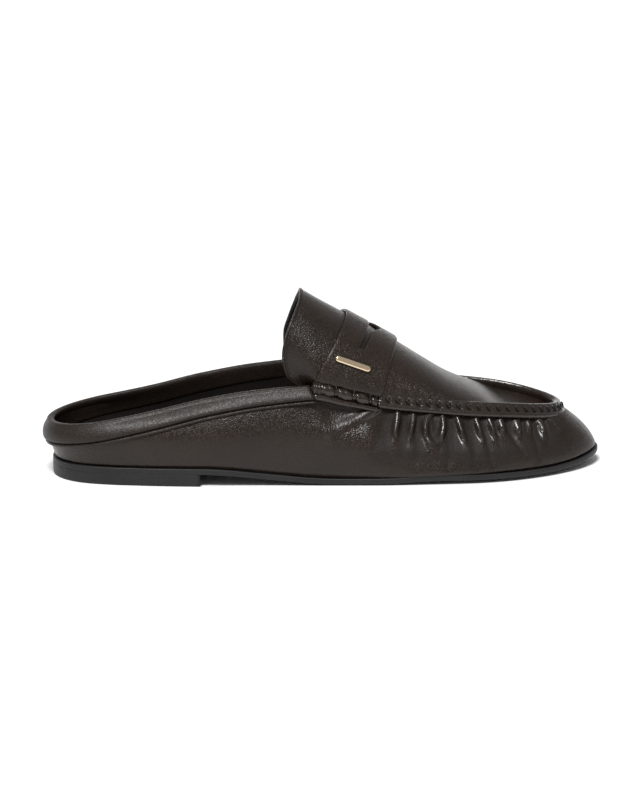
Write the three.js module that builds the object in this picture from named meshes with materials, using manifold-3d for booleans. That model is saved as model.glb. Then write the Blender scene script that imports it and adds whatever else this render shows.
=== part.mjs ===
// Slip-on loafer mule for the right foot: a low rolled collar runs round an open heel, the moccasin front
// has an apron with a raised seam over a gathered wall, and a slotted saddle strap crosses it into two rolls.
// Millimetres. X runs from the heel to the toe, Y to the inner side of the foot and Z up from the floor.
// The origin is on the floor, under the middle of the heel.
import * as THREE from 'three';
import Module from 'manifold-3d';
import { mergeVertices } from 'three/addons/utils/BufferGeometryUtils.js';

const wasm = await Module();
wasm.setup();

// Sole and heel.
const SOLE_LENGTH = 251;
const BALL_WIDTH = 82;
const SOLE_THICKNESS = 2.7;
const SOLE_EDGE = 0.8; // how far the sole stands out past the foot of the upper
const EDGE_BEVEL = 0.5;
const EDGE_LIFT = 2; // the tread's edges curl up from the floor by this much along the forepart
const TREAD_INSET = 12; // breadth of the curled border
const HEEL_HEIGHT = 5.4;
const HEEL_LENGTH = 66;
const HEEL_BREAST_CURVE = 4;
const HEEL_SET_IN = 0.1; // the heel block stands this far inside the sole's edge
const HEEL_BEVEL = 0.6;
const HEEL_STATIONS = 14;
const HEEL_BREAST_STEPS = 8;
const TOE_SPRING = 4.4;
const HEEL_ROUND = 32; // length of the rounded back end of the plan
const TOE_ROUND = 62; // length of the rounded toe end of the plan
const HEEL_FULLNESS = 2.2; // exponents of the rounded ends: higher is squarer
const TOE_FULLNESS = 1.75;
const APRON_FULLNESS = 2.1;

// Upper.
const UPPER_WALL = 2;
const COLLAR_HEIGHT = 43.5; // top of the side wall at the throat, over the floor
const INSTEP_HEIGHT = 84; // top of the tongue
const TOPLINE_BACK = -1.6; // the rim's back end, just behind the back of the sole
const APRON_FRONT = 233.5; // the apron's front end, from the back of the sole
const APRON_ROUND = 52; // length of the apron's rounded front end
const COLLAR_ROUND = 29; // length of the rim's rounded back end
const THROAT = 119; // where collar and apron meet, from the back of the sole
const TONGUE_REACH = 14.4; // how far the tongue stands back over the throat
const TONGUE_TUCK = 5.2; // how far its corners go in behind the collar
const TONGUE_DROP = 4.5; // and below their place on the arch
const TUCK_RUN = 0.67; // share of the flap's reach over which the corners go in
const ROOF_RUN = 12; // length over which the inner face passes under the apron
const PLEAT_DEPTH = 1.7;
const PLEAT_TUCK = 0.12; // share of the wall over which a gather tucks under the seam

// Insole.
const INSOLE_THICKNESS = 2.4;
const INSOLE_CLEARANCE = 0.6;

// Collar binding, folded over the rim.
const COLLAR_WALL = 1;
const COLLAR_BAND = 9; // depth of the band on both faces of the wall
const COLLAR_CROWN = 0.3; // padding in the middle of the band
const COLLAR_STOP = 5.6; // the binding ends this far behind the throat

// Apron seam and the rolls that bind the strap's ends.
const SEAM_HEIGHT = 5.8;
const SEAM_WIDTH = 4.4;
const SEAM_OUT = 0.5; // middle of the raised seam, outside the seam line
const SEAM_UP = 0.2; // and above it
const SEAM_STATIONS = 22;
const SEAM_SIDES = 8;
const SEAM_FLATNESS = 0.6; // exponent that flattens the seam's four faces
const ROLL_RADIUS = 3.9;
const ROLL_START = THROAT - 4; // the rolls' back end, from the back of the sole
const ROLL_LENGTH = 32.5;
const ROLL_OUT = 1.4; // middle of the roll, outside the seam line
const ROLL_UP = 0.2; // and above it
const ROLL_LUMPS = 4;
const ROLL_LUMP_DEPTH = 0.5;
const ROLL_SIDES = 10;

// Saddle strap.
const STRAP_WALL = 1.5;
const STRAP_BACK = 134.2; // its back edge on the crest, from the back of the sole
const STRAP_WIDTH = 22;
const STRAP_FLARE = 17.8; // how far its back edge sweeps back towards the seam lines
const STRAP_FLARE_CURVE = 1.8;
const STRAP_FRONT_SWEEP = 11; // how far its front edge sweeps back towards the seam lines
const STRAP_FRONT_ROUND = 0.2; // share of the half arch over which that edge is rounded at the crest
const SLOT_SET = 9.1; // from the strap's back edge to the slot's
const SLOT_WIDTH = 6;
const SLOT_END_WIDTH = 2.7;
const SLOT_REACH = 0.5; // share of the half arch that the slot covers
const SLOT_TAPER = 0.25; // share of it over which the slot narrows to its end width

// Plain metal bar on the strap.
const BAR_LENGTH = 17;
const BAR_WIDTH = 3;
const BAR_THICKNESS = 1.2;
const BAR_BEVEL = 0.4;
const BAR_PLACE = -0.72; // where on the half arch it sits, outer side negative
const BAR_SET_BACK = 2.4; // how far behind the middle of the strap
const BAR_CLEARANCE = 0.25;

// Pieces that touch keep this clearance.
const FIT_GAP = 0.3;
const GLUE_LINE = 0.1; // between flat faces

// Plan of the sole: shares of its length and of the ball width. The axis is the middle line's shift inwards.
const PLAN = [
  { at: 0.0, axis: 0.0, outer: 0.345, inner: 0.35 },
  { at: 0.08, axis: 0.0, outer: 0.336, inner: 0.35 },
  { at: 0.13, axis: 0.0, outer: 0.355, inner: 0.36 },
  { at: 0.18, axis: 0.001, outer: 0.383, inner: 0.355 },
  { at: 0.25, axis: 0.005, outer: 0.413, inner: 0.34 },
  { at: 0.31, axis: 0.009, outer: 0.431, inner: 0.318 },
  { at: 0.38, axis: 0.014, outer: 0.436, inner: 0.302 },
  { at: 0.5, axis: 0.02, outer: 0.453, inner: 0.345 },
  { at: 0.62, axis: 0.027, outer: 0.478, inner: 0.445 },
  { at: 0.71, axis: 0.037, outer: 0.485, inner: 0.505 },
  { at: 0.8, axis: 0.056, outer: 0.485, inner: 0.5 },
  { at: 1.0, axis: 0.106, outer: 0.46, inner: 0.46 },
];

// Underside of the sole along its length: shares of the heel height, of the toe spring and of the edge
// lift.
const PROFILE = [
  { at: 0.0, heel: 1.0, spring: 0.0, edge: 0.0 },
  { at: 0.27, heel: 1.0, spring: 0.0, edge: 0.0 },
  { at: 0.31, heel: 0.91, spring: 0.0, edge: 0.0 },
  { at: 0.36, heel: 0.66, spring: 0.0, edge: 0.0 },
  { at: 0.41, heel: 0.41, spring: 0.0, edge: 0.0 },
  { at: 0.46, heel: 0.17, spring: 0.0, edge: 0.05 },
  { at: 0.52, heel: 0.02, spring: 0.0, edge: 0.15 },
  { at: 0.57, heel: 0.0, spring: 0.0, edge: 0.22 },
  { at: 0.61, heel: 0.0, spring: 0.0, edge: 0.33 },
  { at: 0.65, heel: 0.0, spring: 0.0, edge: 0.62 },
  { at: 0.7, heel: 0.0, spring: 0.0, edge: 0.85 },
  { at: 0.75, heel: 0.0, spring: 0.0, edge: 0.75 },
  { at: 0.8, heel: 0.0, spring: 0.0, edge: 0.75 },
  { at: 0.89, heel: 0.0, spring: 0.06, edge: 0.65 },
  { at: 0.946, heel: 0.0, spring: 0.36, edge: 0.38 },
  { at: 1.0, heel: 0.0, spring: 1.0, edge: 0.1 },
];

// Top line of the wall, which is the collar's rim behind the throat and the apron seam in front of it:
// shares of its own length, of the ball width and of the collar height.
const TOPLINE = [
  { at: 0.0, axis: 0.0, outer: 0.33, inner: 0.33, height: 0.55 },
  { at: 0.08, axis: 0.0, outer: 0.33, inner: 0.33, height: 0.618 },
  { at: 0.2, axis: 0.006, outer: 0.325, inner: 0.33, height: 0.74 },
  { at: 0.3, axis: 0.01, outer: 0.335, inner: 0.335, height: 0.865 },
  { at: 0.41, axis: 0.011, outer: 0.35, inner: 0.345, height: 0.96 },
  { at: 0.51, axis: 0.013, outer: 0.36, inner: 0.355, height: 1.0 },
  { at: 0.58, axis: 0.018, outer: 0.36, inner: 0.36, height: 0.93 },
  { at: 0.65, axis: 0.025, outer: 0.352, inner: 0.355, height: 0.845 },
  { at: 0.77, axis: 0.037, outer: 0.34, inner: 0.35, height: 0.765 },
  { at: 0.89, axis: 0.057, outer: 0.335, inner: 0.345, height: 0.695 },
  { at: 1.0, axis: 0.089, outer: 0.33, inner: 0.33, height: 0.59 },
];

// Side wall between the sole and the top line: how round it is, its bulge as a share of the ball width, and
// how high up the bulge is widest.
const WALL = [
  { at: 0.0, round: 0.2, bulge: 0.022, peak: 0.62 },
  { at: 0.15, round: 0.3, bulge: 0.034, peak: 0.55 },
  { at: 0.25, round: 0.35, bulge: 0.036, peak: 0.5 },
  { at: 0.5, round: 0.45, bulge: 0.035, peak: 0.45 },
  { at: 0.7, round: 0.6, bulge: 0.03, peak: 0.38 },
  { at: 0.9, round: 0.5, bulge: 0.024, peak: 0.4 },
  { at: 1.0, round: 0.25, bulge: 0.016, peak: 0.42 },
];

// Middle line of the instep and the apron: shares of the distance from the rim's back to the apron's front
// and of the instep height, with the exponent of the arch across (under 1 is boxy, over 1 is pointed).
const CREST = [
  { at: 0.4, height: 1.1, arch: 1.0 },
  { at: 0.488, height: 0.992, arch: 1.0 },
  { at: 0.527, height: 0.928, arch: 1.0 },
  { at: 0.605, height: 0.805, arch: 1.0 },
  { at: 0.664, height: 0.71, arch: 1.0 },
  { at: 0.722, height: 0.604, arch: 1.0 },
  { at: 0.78, height: 0.5, arch: 1.0 },
  { at: 0.839, height: 0.42, arch: 1.0 },
  { at: 0.889, height: 0.34, arch: 1.1 },
  { at: 0.94, height: 0.3, arch: 1.5 },
  { at: 1.0, height: 0.28, arch: 2.0 },
];

// Free edge of the tongue at each share of the half arch, 0 on the crest: how far it stands back on the
// outer and the inner half, and how far its corner is tucked in behind the collar and drops.
const TONGUE = [
  { at: 0.0, outer: 0.39, inner: 0.39, tuck: 0.0 },
  { at: 0.22, outer: 0.45, inner: 0.4, tuck: 0.0 },
  { at: 0.436, outer: 0.66, inner: 0.5, tuck: 0.0 },
  { at: 0.627, outer: 0.89, inner: 0.68, tuck: 0.05 },
  { at: 0.76, outer: 0.98, inner: 0.83, tuck: 0.3 },
  { at: 0.86, outer: 0.89, inner: 0.82, tuck: 0.75 },
  { at: 0.91, outer: 0.68, inner: 0.64, tuck: 0.95 },
  { at: 0.94, outer: 0.34, inner: 0.34, tuck: 1.0 },
];

// Gathers in the wall under the apron seam, from the throat to the toe: place along the half outline,
// depth as a share of the pleat depth, and how far down the wall it runs.
const PLEATS = [
  { at: 0.574, depth: 0.4, reach: 0.5 },
  { at: 0.601, depth: 0.75, reach: 0.7 },
  { at: 0.625, depth: 0.8, reach: 0.6 },
  { at: 0.655, depth: 1.0, reach: 0.75 },
  { at: 0.688, depth: 0.9, reach: 0.65 },
  { at: 0.716, depth: 0.9, reach: 0.7 },
  { at: 0.738, depth: 0.8, reach: 0.6 },
  { at: 0.76, depth: 0.8, reach: 0.65 },
  { at: 0.785, depth: 0.8, reach: 0.7 },
  { at: 0.812, depth: 0.75, reach: 0.6 },
  { at: 0.842, depth: 0.7, reach: 0.6 },
  { at: 0.872, depth: 0.4, reach: 0.5 },
];

const OUTER = -1;
const INNER = 1;
const BAND_ROWS = 3;
const BAND_PADDING = [0, 1, 0.8, 0]; // shares of the crown from the band's lower edge to the rim
const WALL_ROWS = 6;
const FLAP_ROWS = 3;
const COLLAR_STATIONS = 14;
const TOE_STATIONS = [0.9, 0.925, 0.95, 0.975, 1];

// A smooth function through one column of a table, which never overshoots its rows.
function through(rows, column) {
  const at = rows.map((row) => row.at);
  const value = rows.map((row) => row[column]);
  const rise = at.slice(1).map((x, i) => (value[i + 1] - value[i]) / (x - at[i]));
  const slope = value.map((_, i) => {
    if (i === 0) return rise[0];
    if (i === value.length - 1) return rise[i - 1];
    if (rise[i - 1] * rise[i] <= 0) return 0;
    return (2 * rise[i - 1] * rise[i]) / (rise[i - 1] + rise[i]);
  });
  return (x) => {
    const place = Math.min(Math.max(x, at[0]), at[at.length - 1]);
    let i = 0;
    while (i < at.length - 2 && place > at[i + 1]) i += 1;
    const width = at[i + 1] - at[i];
    const t = (place - at[i]) / width;
    const a = value[i] * (1 + 2 * t) * (1 - t) ** 2 + value[i + 1] * t * t * (3 - 2 * t);
    return a + width * (slope[i] * t * (1 - t) ** 2 - slope[i + 1] * t * t * (1 - t));
  };
}

function columns(rows) {
  const names = Object.keys(rows[0]).filter((name) => name !== 'at');
  return Object.fromEntries(names.map((name) => [name, through(rows, name)]));
}

const plan = columns(PLAN);
const profile = columns(PROFILE);
const topline = columns(TOPLINE);
const wall = columns(WALL);
const crest = columns(CREST);
const tongue = columns(TONGUE);

const mix = (from, to, share) => from + (to - from) * share;
const clamp = (x) => Math.min(Math.max(x, 0), 1);
const smooth = (x) => clamp(x) ** 2 * (3 - 2 * clamp(x));
const vector = (x, y, z) => new THREE.Vector3(x, y, z);

// Share of the half outline, 0 at the back and 1 at the tip, to share of its length: close steps at both
// ends.
const alongShare = (a) => (1 - Math.cos(Math.PI * a)) / 2;
const outlineShare = (along) => Math.acos(1 - 2 * clamp(along)) / Math.PI;

// Half width that closes round both ends of a plan.
function roundedHalf(x, length, backRound, frontRound, frontFullness) {
  const back = clamp(1 - x / backRound);
  const front = clamp(1 - (length - x) / frontRound);
  return Math.sqrt((1 - back ** HEEL_FULLNESS) * (1 - front ** frontFullness));
}

// Point of the sole's outline.
function outlinePoint(a, side) {
  const along = alongShare(a);
  const x = along * SOLE_LENGTH;
  const half = (side === OUTER ? plan.outer : plan.inner)(along) * BALL_WIDTH;
  const closing = roundedHalf(x, SOLE_LENGTH, HEEL_ROUND, TOE_ROUND, TOE_FULLNESS);
  return vector(x, plan.axis(along) * BALL_WIDTH + side * half * closing, 0);
}

// Outward direction of the sole's outline, level with the floor.
function outlineNormal(a, side) {
  if (a <= 0) return vector(-1, 0, 0);
  if (a >= 1) return vector(1, 0, 0);
  const step = 0.002;
  const run = outlinePoint(Math.min(a + step, 1), side).sub(outlinePoint(Math.max(a - step, 0), side));
  return vector(-side * run.y, side * run.x, 0).normalize();
}

// Heights of the sole's two faces at a distance from the back and an inset from the edge.
function soleBottom(x, inset) {
  const along = clamp(x / SOLE_LENGTH);
  const curl = profile.edge(along) * EDGE_LIFT * smooth(1 - inset / TREAD_INSET);
  return profile.heel(along) * HEEL_HEIGHT + profile.spring(along) * TOE_SPRING + curl;
}

const soleTop = (x, inset) => soleBottom(x, inset) + SOLE_THICKNESS;

// Foot of the upper, on the sole.
function featherPoint(a, side) {
  const point = outlinePoint(a, side).addScaledVector(outlineNormal(a, side), -SOLE_EDGE);
  return point.setZ(soleTop(point.x, SOLE_EDGE) + FIT_GAP);
}

const TOPLINE_LENGTH = APRON_FRONT - TOPLINE_BACK;

// Point of the top line: the rim behind the throat and the apron seam in front of it.
function toplinePoint(a, side) {
  const along = alongShare(a);
  const half = (side === OUTER ? topline.outer : topline.inner)(along) * BALL_WIDTH;
  const x = along * TOPLINE_LENGTH;
  const closing = roundedHalf(x, TOPLINE_LENGTH, COLLAR_ROUND, APRON_ROUND, APRON_FULLNESS);
  return vector(
    TOPLINE_BACK + x,
    topline.axis(along) * BALL_WIDTH + side * half * closing,
    topline.height(along) * COLLAR_HEIGHT,
  );
}

const toplineShare = (x) => outlineShare((x - TOPLINE_BACK) / TOPLINE_LENGTH);
const THROAT_SHARE = toplineShare(THROAT);

// How far the gathers push the wall out at a share of the half outline.
function pleatSwell(a, v) {
  let swell = 0;
  PLEATS.forEach((pleat, i) => {
    const before = i > 0 ? PLEATS[i - 1].at : 2 * pleat.at - PLEATS[i + 1].at;
    const after = i < PLEATS.length - 1 ? PLEATS[i + 1].at : 2 * pleat.at - before;
    const halfWidth = (a < pleat.at ? pleat.at - before : after - pleat.at) / 2;
    const near = Math.abs(a - pleat.at) / halfWidth;
    if (near < 1) {
      const fade = smooth((v - 1 + pleat.reach) / pleat.reach) * smooth((1 - v) / PLEAT_TUCK);
      swell += pleat.depth * PLEAT_DEPTH * Math.cos((near * Math.PI) / 2) ** 2 * fade;
    }
  });
  return swell;
}

// Top line of a face that lies `sunk` inside the outer one; in front of the throat it also lies lower.
function rimPoint(a, side, sunk) {
  const point = toplinePoint(a, side);
  const roofed = smooth((point.x - THROAT + COLLAR_STOP) / ROOF_RUN);
  return point.addScaledVector(outlineNormal(a, side), -sunk).add(vector(0, 0, -sunk * roofed));
}

// Point of the side wall, v from 0 at the sole to 1 at the top line: on its outer face or `sunk` inside it.
function wallPoint(a, v, side, sunk) {
  const foot = featherPoint(a, side).addScaledVector(outlineNormal(a, side), -sunk);
  const top = rimPoint(a, side, sunk);
  const along = alongShare(a);
  const round = wall.round(along);
  const inset = mix(v, 1 - Math.cos((v * Math.PI) / 2), round);
  const lift = mix(v, Math.sin((v * Math.PI) / 2), round);
  const rising = v ** (Math.log(0.5) / Math.log(wall.peak(along)));
  const swell = wall.bulge(along) * BALL_WIDTH * Math.sin(Math.PI * rising) + pleatSwell(a, v);
  const point = vector(mix(foot.x, top.x, inset), mix(foot.y, top.y, inset), mix(foot.z, top.z, lift));
  return point.addScaledVector(outlineNormal(a, side), swell);
}

// Point of the instep and apron, x from the back of the sole and q from -1 on the outer side to 1 on the
// inner.
function topPoint(x, q, sunk = 0) {
  const share = toplineShare(x);
  const outer = rimPoint(share, OUTER, sunk);
  const inner = rimPoint(share, INNER, sunk);
  const turn = ((q + 1) * Math.PI) / 2;
  const along = (x - TOPLINE_BACK) / TOPLINE_LENGTH;
  const point = outer.lerp(inner, (1 - Math.cos(turn)) / 2);
  const rise = crest.height(along) * INSTEP_HEIGHT - sunk - point.z;
  const arch = Math.abs(q) < 1 ? Math.sin(turn) ** crest.arch(along) : 0;
  return point.add(vector(0, 0, rise * arch));
}

function topNormal(x, q) {
  const step = 0.01;
  const alongX = topPoint(x + 1, q).sub(topPoint(x - 1, q));
  const across = topPoint(x, Math.min(q + step, 1)).sub(topPoint(x, Math.max(q - step, -1)));
  return alongX.cross(across).normalize();
}

const topOffset = (x, q, height) => topPoint(x, q).addScaledVector(topNormal(x, q), height);

// Point of the tongue's flap, share from 0 at the throat to 1 at its free edge.
function tonguePoint(share, q, sunk) {
  const place = Math.abs(q);
  const reach = (q < 0 ? tongue.outer : tongue.inner)(place) * TONGUE_REACH;
  const tuck = tongue.tuck(place) * smooth(share / TUCK_RUN);
  const point = topPoint(THROAT - reach * share, q, sunk);
  return point.add(vector(0, -Math.sign(q) * TONGUE_TUCK * tuck, -TONGUE_DROP * tuck));
}

// Collects shared corners and faces of one open surface.
class Surface {
  constructor() {
    this.points = [];
    this.padding = [];
    this.faces = [];
  }

  add(point, padding = 0) {
    this.points.push(point);
    this.padding.push(padding);
    return this.points.length - 1;
  }

  // Adds the quads between two rows of corner numbers, dropping corners that coincide.
  strip(low, high) {
    for (let i = 0; i < low.length - 1; i += 1) {
      const face = [low[i], low[i + 1], high[i + 1], high[i]];
      const corners = face.filter((corner, k) => corner !== face[(k + 1) % 4]);
      if (corners.length > 2) this.faces.push(corners);
    }
  }

  triangles() {
    return this.faces.flatMap((f) => (f.length === 3 ? [f] : [[f[0], f[1], f[2]], [f[0], f[2], f[3]]]));
  }

  normals() {
    const sums = this.points.map(() => vector(0, 0, 0));
    this.triangles().forEach(([a, b, c]) => {
      const ab = this.points[b].clone().sub(this.points[a]);
      const ac = this.points[c].clone().sub(this.points[a]);
      const area = ab.cross(ac);
      [a, b, c].forEach((corner) => sums[corner].add(area));
    });
    return sums.map((sum) => sum.normalize());
  }

  // The corners moved out by a distance and by their own padding.
  raised(distance) {
    const normals = this.normals();
    return this.points.map((p, i) => p.clone().addScaledVector(normals[i], distance + this.padding[i]));
  }

  // Closed solid between this surface raised by a distance and the same corners in other places.
  closedOver(distance, floor) {
    const count = this.points.length;
    const triangles = this.triangles();
    const edges = new Set(triangles.flatMap(([a, b, c]) => [`${a},${b}`, `${b},${c}`, `${c},${a}`]));
    const closed = triangles.flatMap(([a, b, c]) => [[a, b, c], [c + count, b + count, a + count]]);
    edges.forEach((edge) => {
      const [a, b] = edge.split(',').map(Number);
      if (!edges.has(`${b},${a}`)) closed.push([b, a, a + count], [b, a + count, b + count]);
    });
    return solid([...this.raised(distance), ...floor], closed);
  }
}

function solid(points, triangles) {
  const vertProperties = new Float32Array(points.flatMap((p) => [p.x, p.y, p.z]));
  const triVerts = new Uint32Array(triangles.flat());
  const mesh = new wasm.Mesh({ numProp: 3, vertProperties, triVerts });
  mesh.merge();
  return new wasm.Manifold(mesh);
}

function geometryOf(manifold) {
  const mesh = manifold.getMesh();
  const geometry = new THREE.BufferGeometry();
  geometry.setAttribute('position', new THREE.BufferAttribute(mesh.vertProperties, 3));
  geometry.setIndex(new THREE.BufferAttribute(mesh.triVerts, 1));
  return geometry;
}

function manifoldOf(geometry) {
  const bare = geometry.clone();
  bare.deleteAttribute('normal');
  bare.deleteAttribute('uv');
  const merged = mergeVertices(bare, 1e-4);
  const vertProperties = new Float32Array(merged.attributes.position.array);
  const triVerts = new Uint32Array(merged.index.array);
  return new wasm.Manifold(new wasm.Mesh({ numProp: 3, vertProperties, triVerts }));
}

// Evenly stepped numbers from one value to another, both included.
const steps = (from, to, count) => Array.from({ length: count + 1 }, (_, i) => mix(from, to, i / count));

// Heights up the wall: even steps up to the collar's lower edge and again within its band.
function wallRows(a, side) {
  const depth = toplinePoint(a, side).distanceTo(featherPoint(a, side));
  const edge = 1 - COLLAR_BAND / depth;
  return [...steps(0, edge, WALL_ROWS - BAND_ROWS), ...steps(edge, 1, BAND_ROWS).slice(1)];
}

// Stations of the half outline: even steps to the collar's end, the throat, then a ridge and a valley for
// each gather.
function upperStations() {
  const rear = [...steps(0, toplineShare(THROAT - COLLAR_STOP), COLLAR_STATIONS), THROAT_SHARE];
  const gathers = PLEATS.flatMap((pleat, i) => {
    const before = i > 0 ? PLEATS[i - 1].at : 2 * pleat.at - PLEATS[i + 1].at;
    return [(pleat.at + before) / 2, pleat.at];
  });
  const bridge = steps(THROAT_SHARE, gathers[0], 2).slice(1, -1);
  return { rear, front: [...bridge, ...gathers, ...TOE_STATIONS] };
}

// Half of the arch's steps across, from the crest to the seam; the flap ends at the last but one.
const ARCH_HALF = [0, 0.17, 0.34, 0.5, 0.64, 0.76, 0.85, 0.91, 0.94, 1];

const mirrored = (half) => [...half.slice(1).reverse().map((q) => -q), ...half];

// Face of the upper: the wall as a ring, the apron between its seam lines and the tongue's free flap.
function upperSurface(sunk) {
  const surface = new Surface();
  const { rear, front } = upperStations();
  const shares = [...rear, ...front];
  const last = shares.length - 1;
  const throat = rear.length - 1;
  const wallColumn = (a, side) => wallRows(a, side).map((v) => surface.add(wallPoint(a, v, side, sunk)));
  const backColumn = wallColumn(0, OUTER);
  const tipColumn = wallColumn(1, OUTER);
  const columnsOf = (side) => shares.map((a, i) => {
    if (i === 0) return backColumn;
    return i === last ? tipColumn : wallColumn(a, side);
  });
  const outer = columnsOf(OUTER);
  const inner = columnsOf(INNER);
  for (let i = 0; i < last; i += 1) {
    surface.strip(outer[i].slice().reverse(), outer[i + 1].slice().reverse());
    surface.strip(inner[i], inner[i + 1]);
  }

  const turns = mirrored(ARCH_HALF);
  const archRow = (i) => turns.map((q) => {
    if (Math.abs(q) === 1) return (q < 0 ? outer : inner)[i][WALL_ROWS];
    return surface.add(topPoint(TOPLINE_BACK + alongShare(shares[i]) * TOPLINE_LENGTH, q, sunk));
  });
  const apron = shares.slice(throat, last).map((_, k) => archRow(throat + k));
  apron.push(turns.map(() => tipColumn[WALL_ROWS]));
  for (let i = 0; i < apron.length - 1; i += 1) surface.strip(apron[i + 1], apron[i]);

  // The flap's ends start a little up the arch, so that the collar fits under them.
  const flapTurns = turns.slice(1, -1);
  const flapRow = (share) => flapTurns.map((q, k) => (
    share === 0 ? apron[0][k + 1] : surface.add(tonguePoint(share, q, sunk))
  ));
  const flap = steps(0, 1, FLAP_ROWS).map(flapRow);
  for (let i = 0; i < flap.length - 1; i += 1) surface.strip(flap[i], flap[i + 1]);
  return { surface, outer, inner };
}

const makeUpper = (spare = 0) => upperSurface(0).surface.closedOver(
  spare,
  upperSurface(UPPER_WALL + spare).surface.points,
);

// Stack of outlines closed above and below: each ring is set in from the sole's outline at a share of
// the height.
function makePlate(rings, underside, topside, stations) {
  const surface = [];
  const ringPoints = rings.map(({ inset, lift }) => {
    const at = (a, side) => {
      const point = outlinePoint(a, side).addScaledVector(outlineNormal(a, side), -inset);
      return point.setZ(mix(underside(point.x, inset), topside(point.x, inset), lift));
    };
    const outer = stations.map((a) => at(a, OUTER));
    const inner = stations.slice(1, -1).reverse().map((a) => at(a, INNER));
    return [...outer, ...inner];
  });
  const count = ringPoints[0].length;
  for (let r = 0; r < rings.length - 1; r += 1) {
    for (let i = 0; i < count; i += 1) {
      const next = (i + 1) % count;
      const [a, b] = [r * count + i, r * count + next];
      surface.push([a, b, b + count], [a, b + count, a + count]);
    }
  }
  const cap = (first, flip) => {
    for (let i = 0; i < stations.length - 1; i += 1) {
      const [a, b] = [i, i + 1];
      const [c, d] = [(count - b) % count, (count - a) % count];
      const faces = [[a, b, c], [a, c, d]].filter((face) => new Set(face).size === 3);
      faces.forEach((face) => {
        const corners = face.map((corner) => corner + first);
        surface.push(flip ? corners.reverse() : corners);
      });
    }
  };
  cap((rings.length - 1) * count, false);
  cap(0, true);
  return solid(ringPoints.flat(), surface);
}

const PLATE_STATIONS = steps(0, 1, 36);

function makeOutsole() {
  const rings = [
    { inset: TREAD_INSET, lift: 0 },
    { inset: EDGE_BEVEL, lift: 0 },
    { inset: 0, lift: 0.22 },
    { inset: 0, lift: 0.85 },
    { inset: EDGE_BEVEL, lift: 1 },
    { inset: TREAD_INSET, lift: 1 },
  ];
  return makePlate(rings, soleBottom, soleTop, PLATE_STATIONS);
}

function makeInsole() {
  const inset = SOLE_EDGE + UPPER_WALL + INSOLE_CLEARANCE;
  const underside = (x, at) => soleTop(x, at) + FIT_GAP;
  const rings = [
    { inset: TREAD_INSET, lift: 0 },
    { inset, lift: 0 },
    { inset, lift: 0.7 },
    { inset: inset + EDGE_BEVEL, lift: 1 },
    { inset: TREAD_INSET, lift: 1 },
  ];
  return makePlate(rings, underside, (x, at) => underside(x, at) + INSOLE_THICKNESS, PLATE_STATIONS);
}

// Low heel block with a hollow breast.
function makeHeel() {
  const end = outlineShare(HEEL_LENGTH / SOLE_LENGTH);
  const rim = (a, side) => outlinePoint(a, side).addScaledVector(outlineNormal(a, side), -HEEL_SET_IN);
  const outer = steps(0, end, HEEL_STATIONS).map((a) => rim(a, OUTER));
  const inner = steps(end, 0, HEEL_STATIONS).map((a) => rim(a, INNER)).slice(0, -1);
  const breast = steps(-1, 1, HEEL_BREAST_STEPS).slice(1, -1).map((q) => vector(
    HEEL_LENGTH - HEEL_BREAST_CURVE * (1 - q * q),
    mix(outer[outer.length - 1].y, inner[0].y, (q + 1) / 2),
    0,
  ));
  const shape = new THREE.Shape([...outer, ...breast, ...inner].map((p) => new THREE.Vector2(p.x, p.y)));
  const geometry = new THREE.ExtrudeGeometry(shape, {
    depth: HEEL_HEIGHT - GLUE_LINE - HEEL_BEVEL,
    bevelThickness: HEEL_BEVEL,
    bevelSize: HEEL_BEVEL,
    bevelOffset: -HEEL_BEVEL,
    bevelSegments: 1,
  });
  geometry.translate(0, 0, HEEL_BEVEL);
  const block = manifoldOf(geometry);
  // The bevel is wanted on the floor side alone, so the upper one is cut off flush.
  const over = new THREE.BoxGeometry(SOLE_LENGTH, BALL_WIDTH, HEEL_HEIGHT);
  over.translate(0, 0, HEEL_HEIGHT * 1.5 - GLUE_LINE);
  return block.subtract(manifoldOf(over));
}

// Binding folded over the rim, padded outside: it follows the wall's own corners at a clearance.
function makeCollar() {
  const upper = upperSurface(0);
  const lining = upperSurface(UPPER_WALL).surface;
  const outside = upper.surface.raised(FIT_GAP);
  const inside = lining.raised(-FIT_GAP);
  const surface = new Surface();
  const column = (corners) => {
    const band = corners.slice(WALL_ROWS - BAND_ROWS);
    const rim = band[BAND_ROWS];
    const up = vector(0, 0, FIT_GAP);
    return [
      ...band.map((corner, k) => surface.add(outside[corner], BAND_PADDING[k] * COLLAR_CROWN)),
      surface.add(upper.surface.points[rim].clone().add(up)),
      surface.add(lining.points[rim].clone().add(up)),
      ...band.reverse().map((corner) => surface.add(inside[corner])),
    ];
  };
  const back = column(upper.outer[0]);
  const columnsOf = (side) => side.slice(0, COLLAR_STATIONS + 1)
    .map((corners, i) => (i === 0 ? back : column(corners)));
  const outer = columnsOf(upper.outer);
  const inner = columnsOf(upper.inner);
  for (let i = 0; i < COLLAR_STATIONS; i += 1) {
    surface.strip(outer[i].slice().reverse(), outer[i + 1].slice().reverse());
    surface.strip(inner[i], inner[i + 1]);
  }
  return surface.closedOver(COLLAR_WALL, surface.points);
}

// Edges of the strap at a share of the half arch.
const strapBack = (q) => STRAP_BACK - STRAP_FLARE * Math.abs(q) ** STRAP_FLARE_CURVE;
const strapFront = (q) => (
  STRAP_BACK + STRAP_WIDTH - STRAP_FRONT_SWEEP * (Math.hypot(q, STRAP_FRONT_ROUND) - STRAP_FRONT_ROUND)
);

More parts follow.
